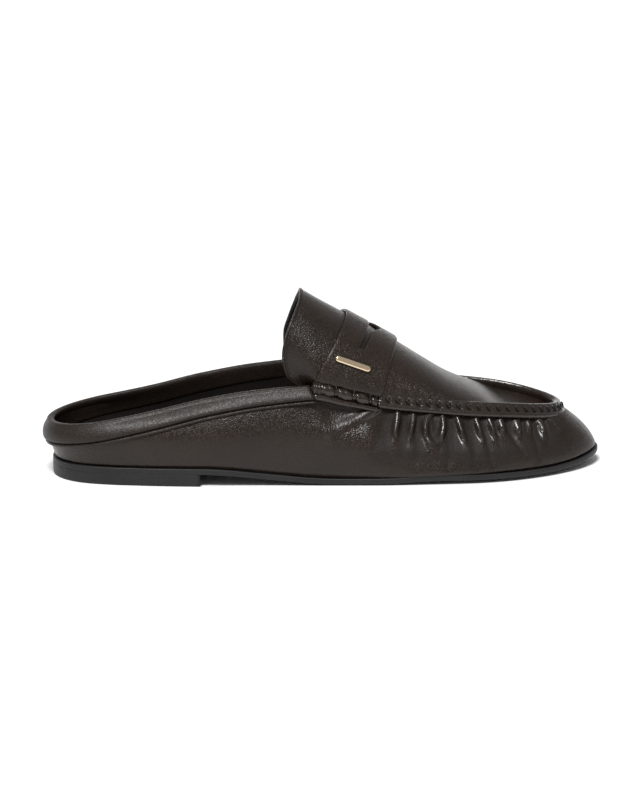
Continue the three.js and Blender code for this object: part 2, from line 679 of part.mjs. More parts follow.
function makeStrap(spare = 0) {
  const surface = new Surface();
  const turns = mirrored(ARCH_HALF.slice(0, -1));
  const rows = turns.map((q) => {
    const back = strapBack(q);
    const front = strapFront(q);
    const opening = mix(SLOT_WIDTH, SLOT_END_WIDTH, smooth(Math.abs(q) / SLOT_TAPER));
    const slot = [back + SLOT_SET, back + SLOT_SET + opening];
    const edges = [back, mix(back, slot[0], 0.5), ...slot, mix(slot[1], front, 0.5), front];
    return edges.map((x) => surface.add(topOffset(x, q, FIT_GAP)));
  });
  for (let i = 0; i < rows.length - 1; i += 1) {
    const inSlot = Math.abs(turns[i] + turns[i + 1]) / 2 < SLOT_REACH;
    for (let k = 0; k < rows[i].length - 1; k += 1) {
      if (!(inSlot && k === 2)) {
        surface.strip([rows[i][k], rows[i][k + 1]], [rows[i + 1][k], rows[i + 1][k + 1]]);
      }
    }
  }
  return surface.closedOver(STRAP_WALL + spare, surface.raised(-spare));
}

// Closed sweep: each frame has a centre with outward and up directions, and `section` gives the points of
// its ring in those directions.
function makeSweep(frames, section) {
  const rings = frames.map((frame) => section(frame).map(([out, up]) => frame.centre.clone()
    .addScaledVector(frame.out, out).addScaledVector(frame.up, up)));
  const count = rings[0].length;
  const faces = [];
  for (let r = 0; r < rings.length - 1; r += 1) {
    for (let i = 0; i < count; i += 1) {
      const next = (i + 1) % count;
      const [a, b] = [r * count + i, r * count + next];
      faces.push([a, b, b + count], [a, b + count, a + count]);
    }
  }
  for (let i = 1; i < count - 1; i += 1) {
    faces.push([0, i + 1, i]);
    const end = (rings.length - 1) * count;
    faces.push([end, end + i, end + i + 1]);
  }
  const sweep = solid(rings.flat(), faces);
  if (sweep.volume() > 0) return sweep;
  return solid(rings.flat(), faces.map((face) => face.slice().reverse()));
}

// Centre and directions of what is swept along the top line.
function toplineFrame(a, side) {
  const step = 0.004;
  const run = toplinePoint(Math.min(a + step, 1), side).sub(toplinePoint(Math.max(a - step, 0), side));
  const out = a >= 1 ? vector(1, 0, 0) : vector(-side * run.y, side * run.x, 0).normalize();
  return { centre: toplinePoint(a, side), out, up: vector(0, 0, 1), a, side };
}

const regular = (sides) => Array.from({ length: sides }, (_, i) => (2 * Math.PI * i) / sides);

// Raised seam round the front of the apron, cut to sit on the upper.
function makeSeam(cutters) {
  const start = toplineShare(ROLL_START + ROLL_LENGTH + FIT_GAP);
  const shares = steps(start, 1, SEAM_STATIONS);
  const outer = shares.map((a) => toplineFrame(a, OUTER));
  const inner = shares.slice(0, -1).reverse().map((a) => toplineFrame(a, INNER));
  const squared = (x) => (Math.sign(x) * Math.abs(x) ** SEAM_FLATNESS) / 2;
  const section = () => regular(SEAM_SIDES).map((t) => [
    SEAM_OUT + squared(Math.cos(t)) * SEAM_WIDTH,
    SEAM_UP + squared(Math.sin(t)) * SEAM_HEIGHT,
  ]);
  return cutToFit(makeSweep([...outer, ...inner], section), cutters);
}

// What is left of a solid outside its cutters, without the scraps.
function cutToFit(whole, cutters) {
  const left = cutters.reduce((piece, cutter) => piece.subtract(cutter), whole);
  return left.decompose().sort((a, b) => b.volume() - a.volume())[0];
}

// Lumpy roll where the strap's end is whipped to the wall.
function makeRoll(side, cutters) {
  const shares = steps(toplineShare(ROLL_START), toplineShare(ROLL_START + ROLL_LENGTH), ROLL_LUMPS * 4);
  const frames = shares.map((a, i) => ({ ...toplineFrame(a, side), step: i / (ROLL_LUMPS * 4) }));
  const section = ({ step }) => {
    const lump = Math.abs(Math.sin(Math.PI * ROLL_LUMPS * step));
    const radius = ROLL_RADIUS - ROLL_LUMP_DEPTH * (1 - lump);
    return regular(ROLL_SIDES).map((t) => [ROLL_OUT + radius * Math.cos(t), ROLL_UP + radius * Math.sin(t)]);
  };
  return cutToFit(makeSweep(frames, section), cutters);
}

// Plain bar with round ends that lies along the strap's outer side.
function makeBar() {
  const half = BAR_LENGTH / 2 - BAR_WIDTH / 2;
  const shape = new THREE.Shape();
  shape.moveTo(-half, -BAR_WIDTH / 2);
  shape.lineTo(half, -BAR_WIDTH / 2);
  shape.absarc(half, 0, BAR_WIDTH / 2, -Math.PI / 2, Math.PI / 2, false);
  shape.lineTo(-half, BAR_WIDTH / 2);
  shape.absarc(-half, 0, BAR_WIDTH / 2, Math.PI / 2, (3 * Math.PI) / 2, false);
  const geometry = new THREE.ExtrudeGeometry(shape, {
    depth: BAR_THICKNESS - 2 * BAR_BEVEL,
    bevelThickness: BAR_BEVEL,
    bevelSize: BAR_BEVEL,
    bevelOffset: -BAR_BEVEL,
    bevelSegments: 2,
    curveSegments: 8,
  });
  geometry.translate(0, 0, BAR_BEVEL);
  const x = (strapBack(BAR_PLACE) + strapFront(BAR_PLACE)) / 2 - BAR_SET_BACK;
  const along = topPoint(x + half, BAR_PLACE).sub(topPoint(x - half, BAR_PLACE)).normalize();
  const normal = topNormal(x, BAR_PLACE);
  const across = normal.clone().cross(along).normalize();
  const seat = topOffset(x, BAR_PLACE, FIT_GAP + STRAP_WALL + BAR_CLEARANCE);
  const basis = new THREE.Matrix4().makeBasis(along, across, along.clone().cross(across)).setPosition(seat);
  geometry.applyMatrix4(basis);
  return manifoldOf(geometry);
}

const brownLeather = { color: 0x2c2420, roughness: 0.42, metalness: 0 };
const darkLining = { color: 0x17110f, roughness: 0.6, metalness: 0 };
const blackSole = { color: 0x1b1b1e, roughness: 0.55, metalness: 0 };
const paleGold = { color: 0xd9b98a, roughness: 0.25, metalness: 1 };

const shoe = new THREE.Group();

function addPiece(name, manifold, finish) {
  const mesh = new THREE.Mesh(geometryOf(manifold), new THREE.MeshStandardMaterial(finish));
  mesh.name = name;
  shoe.add(mesh);
}

// A solid that is grown on its faces gets the clearance past its edges too.
const SHIFTS = [[1, 0, 0], [-1, 0, 0], [0, 1, 0], [0, -1, 0], [0, 0, 1], [0, 0, -1]];
const spread = (thick) => SHIFTS.reduce(
  (grown, shift) => grown.add(thick.translate(shift.map((d) => d * FIT_GAP))),
  thick,
);

const thickUpper = makeUpper(FIT_GAP);
const grownStrap = spread(makeStrap(FIT_GAP));
const rollCutters = [spread(thickUpper), grownStrap];
addPiece('upper', makeUpper(), brownLeather);
addPiece('collar', makeCollar(), brownLeather);
addPiece('strap', makeStrap(), brownLeather);
addPiece('apron_seam', makeSeam([thickUpper, grownStrap]), brownLeather);
addPiece('roll_outer', makeRoll(OUTER, rollCutters), brownLeather);
addPiece('roll_inner', makeRoll(INNER, rollCutters), brownLeather);
addPiece('insole', makeInsole(), darkLining);
addPiece('outsole', makeOutsole(), blackSole);
addPiece('heel', makeHeel(), blackSole);
addPiece('bar', makeBar(), paleGold);
shoe.position.set(-HEEL_LENGTH / 2, 0, 0);

export default shoe;
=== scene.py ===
"""Loafer mule for the right foot: leather, thread, lining, sole and stage round its CAD frame."""

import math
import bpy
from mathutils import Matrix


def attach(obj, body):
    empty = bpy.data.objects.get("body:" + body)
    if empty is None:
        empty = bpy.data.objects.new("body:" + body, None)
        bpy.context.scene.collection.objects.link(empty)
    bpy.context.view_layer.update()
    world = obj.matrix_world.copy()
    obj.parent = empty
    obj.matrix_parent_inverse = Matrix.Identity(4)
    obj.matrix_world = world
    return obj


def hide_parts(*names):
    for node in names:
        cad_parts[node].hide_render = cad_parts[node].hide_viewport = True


bl_info = {
    "name": "Loafer mule",
    "version": (1, 0, 0),
    "blender": (4, 5, 0),
    "location": "3D View > Sidebar > Loafer",
    "description": "Dresses a slip-on loafer mule round its CAD frame",
    "category": "Add Mesh",
}

import bpy
import numpy as np
from bpy.props import FloatProperty, FloatVectorProperty, PointerProperty
from bpy.types import Operator, Panel, PropertyGroup
from mathutils import Vector

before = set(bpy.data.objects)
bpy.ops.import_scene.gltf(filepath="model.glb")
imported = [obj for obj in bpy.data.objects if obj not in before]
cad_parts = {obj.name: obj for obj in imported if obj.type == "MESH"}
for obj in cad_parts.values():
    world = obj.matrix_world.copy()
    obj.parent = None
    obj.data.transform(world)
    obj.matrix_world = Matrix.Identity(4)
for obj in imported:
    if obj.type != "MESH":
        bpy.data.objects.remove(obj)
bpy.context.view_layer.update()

# Every length below is in millimetres, measured from the back of the sole; meshes are made in metres.
MM = 0.001
HEEL_LENGTH = 66.0
ORIGIN = np.array([HEEL_LENGTH / 2, 0.0, 0.0])

OUTER = -1.0
INNER = 1.0

SOLE_LENGTH = 251.0
BALL_WIDTH = 82.0
SOLE_THICKNESS = 2.7
SOLE_EDGE = 0.8
EDGE_LIFT = 2.0
TREAD_INSET = 12.0
HEEL_HEIGHT = 5.4
HEEL_BREAST_CURVE = 4.0
HEEL_SET_IN = 0.1
TOE_SPRING = 4.4
HEEL_ROUND = 32.0
TOE_ROUND = 62.0
HEEL_FULLNESS = 2.2
TOE_FULLNESS = 1.75
APRON_FULLNESS = 2.1

UPPER_WALL = 2.0
LEATHER = 1.1
# At the ball the wall hangs a little over the sole's edge.
OVERHANG = {"at": 0.68, "along": 0.1, "out": 1.3, "down": 0.7}
# The gathered wall ends this far under the apron seam's line.
WALL_DROP = 2.4
COLLAR_HEIGHT = 43.5
INSTEP_HEIGHT = 84.0
TOPLINE_BACK = -1.6
APRON_FRONT = 233.5
APRON_ROUND = 52.0
COLLAR_ROUND = 29.0
THROAT = 119.0
COLLAR_STOP = 5.6
ROOF_RUN = 12.0
TONGUE_REACH = 14.4
TONGUE_TUCK = 5.2
TONGUE_DROP = 4.5
TUCK_RUN = 0.67
TONGUE_SIDE = 0.95
INSOLE_THICKNESS = 2.4
INSOLE_CLEARANCE = 0.6
FIT_GAP = 0.3

STRAP_BACK = 134.2
STRAP_WIDTH = 22.0
STRAP_WALL = 1.5
STRAP_FLARE = 17.8
STRAP_FLARE_CURVE = 1.8
STRAP_FRONT_SWEEP = 11.0
STRAP_FRONT_ROUND = 0.2
STRAP_END = 0.945
SLOT_SET = 9.1
SLOT_WIDTH = 6.0
SLOT_END_WIDTH = 2.9
SLOT_REACH = 0.54
SLOT_TAPER = 0.25

ROLL_START = THROAT - 4.0
ROLL_LENGTH = 32.5

BAR_LENGTH = 17.0
BAR_WIDTH = 3.0
BAR_THICKNESS = 1.2
BAR_PLACE = -0.72
BAR_SET_BACK = 2.4
BAR_CLEARANCE = 0.25

# Plan of the sole: shares of its length and of the ball width.
PLAN = [
    {"at": 0.0, "axis": 0.0, "outer": 0.345, "inner": 0.35},
    {"at": 0.08, "axis": 0.0, "outer": 0.336, "inner": 0.35},
    {"at": 0.13, "axis": 0.0, "outer": 0.355, "inner": 0.36},
    {"at": 0.18, "axis": 0.001, "outer": 0.383, "inner": 0.355},
    {"at": 0.25, "axis": 0.005, "outer": 0.413, "inner": 0.34},
    {"at": 0.31, "axis": 0.009, "outer": 0.431, "inner": 0.318},
    {"at": 0.38, "axis": 0.014, "outer": 0.436, "inner": 0.302},
    {"at": 0.5, "axis": 0.02, "outer": 0.453, "inner": 0.345},
    {"at": 0.62, "axis": 0.027, "outer": 0.478, "inner": 0.445},
    {"at": 0.71, "axis": 0.037, "outer": 0.485, "inner": 0.505},
    {"at": 0.8, "axis": 0.056, "outer": 0.485, "inner": 0.5},
    {"at": 1.0, "axis": 0.106, "outer": 0.46, "inner": 0.46},
]

# Underside of the sole: shares of the heel height, of the toe spring and of the edge lift.
PROFILE = [
    {"at": 0.0, "heel": 1.0, "spring": 0.0, "edge": 0.0},
    {"at": 0.27, "heel": 1.0, "spring": 0.0, "edge": 0.0},
    {"at": 0.31, "heel": 0.91, "spring": 0.0, "edge": 0.0},
    {"at": 0.36, "heel": 0.66, "spring": 0.0, "edge": 0.0},
    {"at": 0.41, "heel": 0.41, "spring": 0.0, "edge": 0.0},
    {"at": 0.46, "heel": 0.17, "spring": 0.0, "edge": 0.05},
    {"at": 0.52, "heel": 0.02, "spring": 0.0, "edge": 0.15},
    {"at": 0.57, "heel": 0.0, "spring": 0.0, "edge": 0.22},
    {"at": 0.61, "heel": 0.0, "spring": 0.0, "edge": 0.33},
    {"at": 0.65, "heel": 0.0, "spring": 0.0, "edge": 0.62},
    {"at": 0.7, "heel": 0.0, "spring": 0.0, "edge": 0.85},
    {"at": 0.75, "heel": 0.0, "spring": 0.0, "edge": 0.75},
    {"at": 0.8, "heel": 0.0, "spring": 0.0, "edge": 0.75},
    {"at": 0.89, "heel": 0.0, "spring": 0.06, "edge": 0.65},
    {"at": 0.946, "heel": 0.0, "spring": 0.36, "edge": 0.38},
    {"at": 1.0, "heel": 0.0, "spring": 1.0, "edge": 0.1},
]

# Top line of the wall: shares of its own length, of the ball width and of the collar height.
TOPLINE = [
    {"at": 0.0, "axis": 0.0, "outer": 0.33, "inner": 0.33, "height": 0.55},
    {"at": 0.08, "axis": 0.0, "outer": 0.33, "inner": 0.33, "height": 0.618},
    {"at": 0.2, "axis": 0.006, "outer": 0.325, "inner": 0.33, "height": 0.74},
    {"at": 0.3, "axis": 0.01, "outer": 0.335, "inner": 0.335, "height": 0.865},
    {"at": 0.41, "axis": 0.011, "outer": 0.35, "inner": 0.345, "height": 0.96},
    {"at": 0.51, "axis": 0.013, "outer": 0.36, "inner": 0.355, "height": 1.0},
    {"at": 0.58, "axis": 0.018, "outer": 0.36, "inner": 0.36, "height": 0.93},
    {"at": 0.65, "axis": 0.025, "outer": 0.352, "inner": 0.355, "height": 0.845},
    {"at": 0.77, "axis": 0.037, "outer": 0.34, "inner": 0.35, "height": 0.765},
    {"at": 0.89, "axis": 0.057, "outer": 0.335, "inner": 0.345, "height": 0.695},
    {"at": 1.0, "axis": 0.089, "outer": 0.33, "inner": 0.33, "height": 0.59},
]

# Side wall: how round it is, its bulge as a share of the ball width and how high up that is widest.
WALL = [
    {"at": 0.0, "round": 0.2, "bulge": 0.022, "peak": 0.62},
    {"at": 0.15, "round": 0.3, "bulge": 0.034, "peak": 0.55},
    {"at": 0.25, "round": 0.35, "bulge": 0.036, "peak": 0.5},
    {"at": 0.5, "round": 0.45, "bulge": 0.035, "peak": 0.45},
    {"at": 0.7, "round": 0.6, "bulge": 0.03, "peak": 0.38},
    {"at": 0.9, "round": 0.5, "bulge": 0.024, "peak": 0.4},
    {"at": 1.0, "round": 0.25, "bulge": 0.016, "peak": 0.42},
]

# Middle line of the instep and the apron, with the exponent of the arch across.
CREST = [
    {"at": 0.4, "height": 1.1, "arch": 1.0},
    {"at": 0.488, "height": 0.992, "arch": 1.0},
    {"at": 0.527, "height": 0.928, "arch": 1.0},
    {"at": 0.605, "height": 0.805, "arch": 1.0},
    {"at": 0.664, "height": 0.71, "arch": 1.0},
    {"at": 0.722, "height": 0.604, "arch": 1.0},
    {"at": 0.78, "height": 0.5, "arch": 1.0},
    {"at": 0.839, "height": 0.42, "arch": 1.0},
    {"at": 0.889, "height": 0.34, "arch": 1.1},
    {"at": 0.94, "height": 0.3, "arch": 1.5},
    {"at": 1.0, "height": 0.28, "arch": 2.0},
]

# Free edge of the tongue at each share of the half arch: how far it stands back and is tucked in.
TONGUE = [
    {"at": 0.0, "outer": 0.39, "inner": 0.39, "tuck": 0.0},
    {"at": 0.22, "outer": 0.45, "inner": 0.4, "tuck": 0.0},
    {"at": 0.436, "outer": 0.66, "inner": 0.5, "tuck": 0.0},
    {"at": 0.627, "outer": 0.93, "inner": 0.68, "tuck": 0.05},
    {"at": 0.76, "outer": 1.05, "inner": 0.83, "tuck": 0.3},
    {"at": 0.86, "outer": 0.94, "inner": 0.82, "tuck": 0.75},
    {"at": 0.91, "outer": 0.65, "inner": 0.64, "tuck": 0.95},
    {"at": 0.94, "outer": 0.3, "inner": 0.34, "tuck": 1.0},
]

# Sharp ridges of the gathered wall: where each starts under the seam, bends and runs out, as
# millimetres in front of the heel's middle and as a share of the wall's height.
RIDGES = [
    {"from": (113.9, 0.98), "by": (106.5, 0.75), "to": (90.0, 0.56), "width": 1.25, "rise": 1.0},
    {"from": (122.9, 0.98), "by": (121.8, 0.75), "to": (119.8, 0.5), "width": 1.15, "rise": 1.05},
    {"from": (130.5, 0.98), "by": (129.4, 0.8), "to": (127.2, 0.55), "width": 1.0, "rise": 0.85},
    {"from": (138.4, 1.0), "by": (132.4, 0.78), "to": (136.2, 0.53), "width": 1.15, "rise": 1.05},
    {"from": (136.2, 0.53), "by": (137.6, 0.47), "to": (140.0, 0.5), "width": 1.3, "rise": 0.9},
    {"from": (143.0, 0.98), "by": (144.2, 0.68), "to": (139.0, 0.49), "width": 1.15, "rise": 1.05},
    {"from": (149.4, 0.98), "by": (150.6, 0.78), "to": (152.4, 0.55), "width": 1.0, "rise": 1.0},
    {"from": (158.0, 0.98), "by": (158.6, 0.8), "to": (161.0, 0.58), "width": 1.0, "rise": 1.0},
    {"from": (164.0, 0.98), "by": (165.0, 0.8), "to": (166.8, 0.6), "width": 0.95, "rise": 0.95},
    {"from": (169.8, 0.98), "by": (169.4, 0.85), "to": (170.6, 0.68), "width": 1.2, "rise": 0.95},
    {"from": (177.4, 0.94), "by": (177.2, 0.8), "to": (178.0, 0.64), "width": 1.35, "rise": 0.9},
    {"from": (183.0, 0.97), "by": (183.4, 0.85), "to": (184.0, 0.68), "width": 1.0, "rise": 0.7},
    {"from": (187.4, 0.99), "by": (189.9, 0.8), "to": (189.9, 0.55), "width": 1.2, "rise": 0.95},
    {"from": (192.6, 0.98), "by": (195.1, 0.85), "to": (198.0, 0.68), "width": 1.1, "rise": 0.45},
]

# Fine creases between the ridges and soft folds that run on down to the sole, in the same terms.
CREASES = [
    {"from": (118.2, 0.97), "by": (117.0, 0.8), "to": (113.0, 0.45), "width": 2.2, "rise": -0.35},
    {"from": (125.6, 0.97), "by": (125.0, 0.75), "to": (123.0, 0.3), "width": 1.2, "rise": -0.4},
    {"from": (127.0, 0.95), "by": (126.0, 0.85), "to": (125.3, 0.65), "width": 0.5, "rise": -0.3},
    {"from": (131.8, 0.96), "by": (130.9, 0.75), "to": (130.0, 0.15), "width": 1.4, "rise": -0.45},
    {"from": (139.4, 0.97), "by": (139.0, 0.85), "to": (139.4, 0.68), "width": 0.6, "rise": -0.35},
    {"from": (145.6, 0.97), "by": (146.0, 0.75), "to": (144.6, 0.12), "width": 1.5, "rise": -0.45},
    {"from": (146.9, 0.92), "by": (147.4, 0.75), "to": (147.0, 0.5), "width": 0.5, "rise": -0.3},
    {"from": (152.6, 0.97), "by": (153.4, 0.75), "to": (155.0, 0.45), "width": 0.6, "rise": -0.35},
    {"from": (154.6, 0.95), "by": (155.8, 0.7), "to": (157.0, 0.1), "width": 1.4, "rise": -0.45},
    {"from": (160.4, 0.97), "by": (161.8, 0.7), "to": (164.5, 0.12), "width": 1.2, "rise": -0.45},
    {"from": (166.3, 0.97), "by": (167.4, 0.75), "to": (168.3, 0.45), "width": 0.6, "rise": -0.35},
    {"from": (172.2, 0.95), "by": (173.8, 0.6), "to": (179.3, 0.3), "width": 1.2, "rise": -0.5},
    {"from": (179.4, 0.97), "by": (180.0, 0.8), "to": (179.2, 0.55), "width": 0.6, "rise": -0.35},
    {"from": (184.4, 0.97), "by": (185.3, 0.6), "to": (186.0, 0.1), "width": 1.2, "rise": -0.4},
    {"from": (190.4, 0.97), "by": (191.6, 0.75), "to": (191.0, 0.4), "width": 0.8, "rise": -0.3},
]
# The inner side's gathers lie this far in front of the outer side's.
INNER_SHIFT = 2.3
GATHERS_FROM = 108.0
GATHERS_TO = 200.0
# Millimetres that the wall's whole height counts for, where strokes are measured on it.
STROKE_HEIGHT = 30.0
# Leather between the gathers and in the folds: added roughness, coat, and a darkening of its colour that is
# painted shade, where it is fully dull.
DULL_ROUGHNESS = 0.34
DULL_COAT = -0.9
GATHER_PAINTED_SHADE = 0.66
# Between these places the wall's mesh is close enough for the gathers.
CLOSE_FROM = THROAT - 22
CLOSE_TO = 199.0 + HEEL_LENGTH / 2

# Hollow in the wall under each roll: middle, half sizes along and up in millimetres.
HOLLOW = {"x": 97.0, "share": 0.79, "along": 17.0, "up": 5.2}

# Bulges of each roll, from the heel's middle: place, half length, radius and height of the middle.
BULGES = [
    {"x": 86.1, "half": 2.9, "radius": 3.6, "up": 0.2},
    {"x": 91.1, "half": 2.7, "radius": 3.2, "up": -0.3},
    {"x": 98.4, "half": 3.4, "radius": 3.0, "up": -0.6},
    {"x": 106.2, "half": 3.0, "radius": 2.9, "up": -0.8},
    {"x": 111.9, "half": 1.7, "radius": 2.6, "up": -1.0},
]


def through(rows, column):
    """A smooth function through one column of a table, which never overshoots its rows."""
    at = np.array([row["at"] for row in rows])
    value = np.array([row[column] for row in rows])
    rise = np.diff(value) / np.diff(at)
    slope = np.zeros(len(value))
    slope[0], slope[-1] = rise[0], rise[-1]
    product = rise[:-1] * rise[1:]
    total = rise[:-1] + rise[1:]
    slope[1:-1] = np.where(product > 0, 2 * product / np.where(total == 0, 1, total), 0)

    def smooth_value(x):
        x = np.clip(x, at[0], at[-1])
        i = np.clip(np.searchsorted(at, x, side="right") - 1, 0, len(at) - 2)
        width = at[i + 1] - at[i]
        t = (x - at[i]) / width
        low = value[i] * (1 + 2 * t) * (1 - t) ** 2
        high = value[i + 1] * t * t * (3 - 2 * t)
        return low + high + width * (slope[i] * t * (1 - t) ** 2 - slope[i + 1] * t * t * (1 - t))

    return smooth_value


def columns(rows):
    return {name: through(rows, name) for name in rows[0] if name != "at"}


plan = columns(PLAN)
profile = columns(PROFILE)
topline = columns(TOPLINE)
wall = columns(WALL)
crest = columns(CREST)
tongue = columns(TONGUE)


def smooth(x):
    x = np.clip(x, 0, 1)
    return x * x * (3 - 2 * x)


def mix(a, b, t):
    return a + (b - a) * t


def unit(vectors):
    return vectors / np.maximum(np.linalg.norm(vectors, axis=-1, keepdims=True), 1e-9)


def stack(x, y, z):
    x, y, z = np.broadcast_arrays(x, y, z)
    return np.stack([x, y, z], axis=-1)


def along_share(a):
    return (1 - np.cos(np.pi * a)) / 2


def outline_share(along):
    return np.arccos(1 - 2 * np.clip(along, 0, 1)) / np.pi


def rounded_half(x, length, back_round, front_round, front_fullness):
    """Share of the half width that is left where a plan closes at its ends."""
    back = np.clip(1 - x / back_round, 0, 1)
    front = np.clip(1 - (length - x) / front_round, 0, 1)
    return np.sqrt((1 - back**HEEL_FULLNESS) * (1 - front**front_fullness))


def side_value(table, name, along, side):
    return np.where(np.asarray(side) < 0, table["outer"](along), table[name](along))


def outline_point(a, side):
    """Point of the sole's outline."""
    along = along_share(a)
    x = along * SOLE_LENGTH
    half = side_value(plan, "inner", along, side) * BALL_WIDTH
    closing = rounded_half(x, SOLE_LENGTH, HEEL_ROUND, TOE_ROUND, TOE_FULLNESS)
    return stack(x, plan["axis"](along) * BALL_WIDTH + side * half * closing, 0.0)


def outline_normal(a, side):
    """Outward direction of the sole's outline, level with the floor."""
    step = 0.002
    run = outline_point(np.minimum(a + step, 1), side) - outline_point(np.maximum(a - step, 0), side)
    normal = unit(stack(-side * run[..., 1], side * run[..., 0], 0.0))
    ends = np.where(np.asarray(a) <= 0, -1.0, np.where(np.asarray(a) >= 1, 1.0, 0.0))
    flat = stack(ends, 0.0, 0.0)
    return np.where((ends == 0)[..., None], normal, flat)


def sole_bottom(x, inset):
    along = np.clip(x / SOLE_LENGTH, 0, 1)
    curl = profile["edge"](along) * EDGE_LIFT * smooth(1 - inset / TREAD_INSET)
    return profile["heel"](along) * HEEL_HEIGHT + profile["spring"](along) * TOE_SPRING + curl


def sole_top(x, inset):
    return sole_bottom(x, inset) + SOLE_THICKNESS


def feather_point(a, side, sunk=0.0):
    """Foot of the upper, on the sole."""
    point = outline_point(a, side) - outline_normal(a, side) * SOLE_EDGE
    point[..., 2] = sole_top(point[..., 0], SOLE_EDGE) + FIT_GAP
    return point - outline_normal(a, side) * sunk


TOPLINE_LENGTH = APRON_FRONT - TOPLINE_BACK


def topline_point(a, side):
    """Point of the top line: the rim behind the throat and the apron seam in front of it."""
    along = along_share(a)
    x = along * TOPLINE_LENGTH
    half = side_value(topline, "inner", along, side) * BALL_WIDTH
    closing = rounded_half(x, TOPLINE_LENGTH, COLLAR_ROUND, APRON_ROUND, APRON_FULLNESS)
    y = topline["axis"](along) * BALL_WIDTH + side * half * closing
    return stack(TOPLINE_BACK + x, y, topline["height"](along) * COLLAR_HEIGHT)


def topline_share(x):
    return outline_share((x - TOPLINE_BACK) / TOPLINE_LENGTH)


def rim_point(a, side, sunk):
    """Top line of a face that lies inside the outer one; in front of the throat it is lower too."""
    point = topline_point(a, side)
    roofed = smooth((point[..., 0] - THROAT + COLLAR_STOP) / ROOF_RUN)
    point = point - outline_normal(a, side) * sunk
    point[..., 2] -= sunk * roofed
    return point


def stroke(x, height, crease):
    """Squared distance from a curved stroke in widths, and how far along the stroke it is nearest."""
    start, bend, end = (np.array(crease[key]) * (1.0, STROKE_HEIGHT) for key in ("from", "by", "to"))
    nearest = np.full(np.broadcast(x, height).shape, 1e9)
    place = np.zeros(nearest.shape)
    for t in np.linspace(0, 1, 17):
        px, ph = (1 - t) ** 2 * start + 2 * t * (1 - t) * bend + t * t * end
        gap = (x - px) ** 2 + (height - ph) ** 2 * 0.6
        closer = gap < nearest
        nearest = np.where(closer, gap, nearest)
        place = np.where(closer, t, place)
    return nearest / crease["width"] ** 2, place


def ridge_height(x, height):
    """Height of the gathers' ridges, 1 along a full ridge's crown and 0 away from them."""
    ridges = np.zeros(np.broadcast(x, height).shape)
    for crease in RIDGES:
        gap, place = stroke(x, height, crease)
        cap = np.clip(1 - 0.5 * gap, 0, 1) ** 0.85
        ridges = np.maximum(ridges, crease["rise"] * cap * (1 - 0.6 * smooth((place - 0.6) / 0.4)))
    return ridges


def fold_depth(x, height):
    """Depth of the soft folds and fine creases, below 0 where the leather sinks."""
    folds = np.zeros(np.broadcast(x, height).shape)
    for crease in CREASES:
        gap, place = stroke(x, height, crease)
        folds += crease["rise"] * np.exp(-gap) * (1 - 0.5 * smooth((place - 0.3) / 0.7))
    return folds


def on_outer_side(x, side):
    """Where a place on either side lies in the tables, which are the outer side's."""
    return x - np.where(np.asarray(side) > 0, INNER_SHIFT, 0.0)


def gathered_share(x, end):
    """How much of the gathers there is at a place; they fade in at the roll and out at the end."""
    return smooth((x - GATHERS_FROM) / 9) * smooth((end - x) / 12)


def dull_and_shade_share(x, share, side):
    """Dullness of the leather, which also darkens its colour as painted shade: 1 deep between the gathers
    and in the folds, 0 on plain wall, below 0 on rubbed crowns.
    """
    x = on_outer_side(x, side)
    gathered = gathered_share(x, GATHERS_TO + 6)
    height = STROKE_HEIGHT * np.asarray(share)
    crown = np.clip(1.3 * ridge_height(x, height), 0, 1)
    # Painted shade: the folds and the places between the gathers get darker colour as well as more
    # roughness.
    folded = np.clip(-1.4 * fold_depth(x, height), 0, 1) * (1 - crown) * smooth(share / 0.12)
    between = gathered * (1 - crown) * smooth((share - 0.2) / 0.25)
    return np.clip(between * 0.85 + folded, 0, 1.2) - 0.5 * crown


def crease_relief(x, share, side, shape):
    """Relief of the wall from the listed ridges, creases and hollow; x is in front of the heel's middle,
    share is the height.
    """
    x = on_outer_side(x, side)
    height = STROKE_HEIGHT * np.asarray(share)
    ridges = ridge_height(x, height)
    folds = fold_depth(x, height)
    gathered = gathered_share(x, GATHERS_TO)
    sunk = gathered * smooth((share - 0.36) / 0.3) * (1 - 0.75 * smooth((share - 0.66) / 0.3))
    proud = 0.65 - 0.3 * gathered
    relief = shape.gather_height / MM * (proud * ridges - sunk * (1 - ridges) + 0.95 * folds)
    hollow = ((x - HOLLOW["x"]) / HOLLOW["along"]) ** 2
    hollow = hollow + ((height - STROKE_HEIGHT * HOLLOW["share"]) / HOLLOW["up"]) ** 2
    return relief - shape.hollow_depth / MM * np.exp(-hollow)


def wall_point(a, v, side, sunk=0.0, shape=None):
    """Point of the side wall, v from 0 at the sole to 1 at the top line."""
    normal = outline_normal(a, side)
    foot = feather_point(a, side, sunk)
    top = rim_point(a, side, sunk)
    along = along_share(a)
    roundness = wall["round"](along)
    if shape is not None:
        gathered = smooth((top[..., 0] - THROAT + 6) / 10) * (1 - smooth((top[..., 0] - 216) / 14))
        top[..., 2] -= WALL_DROP * gathered
        roundness = roundness * (1 - 0.45 * gathered)
    inset = mix(v, 1 - np.cos(v * np.pi / 2), roundness)
    lift = mix(v, np.sin(v * np.pi / 2), roundness)
    rising = np.power(v, np.log(0.5) / np.log(wall["peak"](along)))
    swell = wall["bulge"](along) * BALL_WIDTH * np.sin(np.pi * rising)
    point = mix(foot, top, inset[..., None])
    point[..., 2] = mix(foot[..., 2], top[..., 2], lift)
    if shape is not None:
        x = point[..., 0] - ORIGIN[0]
        relief = crease_relief(x, lift, side, shape)
        front = smooth((point[..., 0] - THROAT + 20) / 14)
        swell = swell + relief * smooth((1 - v) / 0.03) * smooth(v / 0.2) * front
        swell = swell - 0.7 * (1 - smooth(v / 0.045))
        ball = np.exp(-(((along - OVERHANG["at"]) / OVERHANG["along"]) ** 2)) * (1 - smooth(v / 0.22))
        swell = swell + OVERHANG["out"] * ball
        point[..., 2] -= OVERHANG["down"] * ball
    return point + normal * swell[..., None]


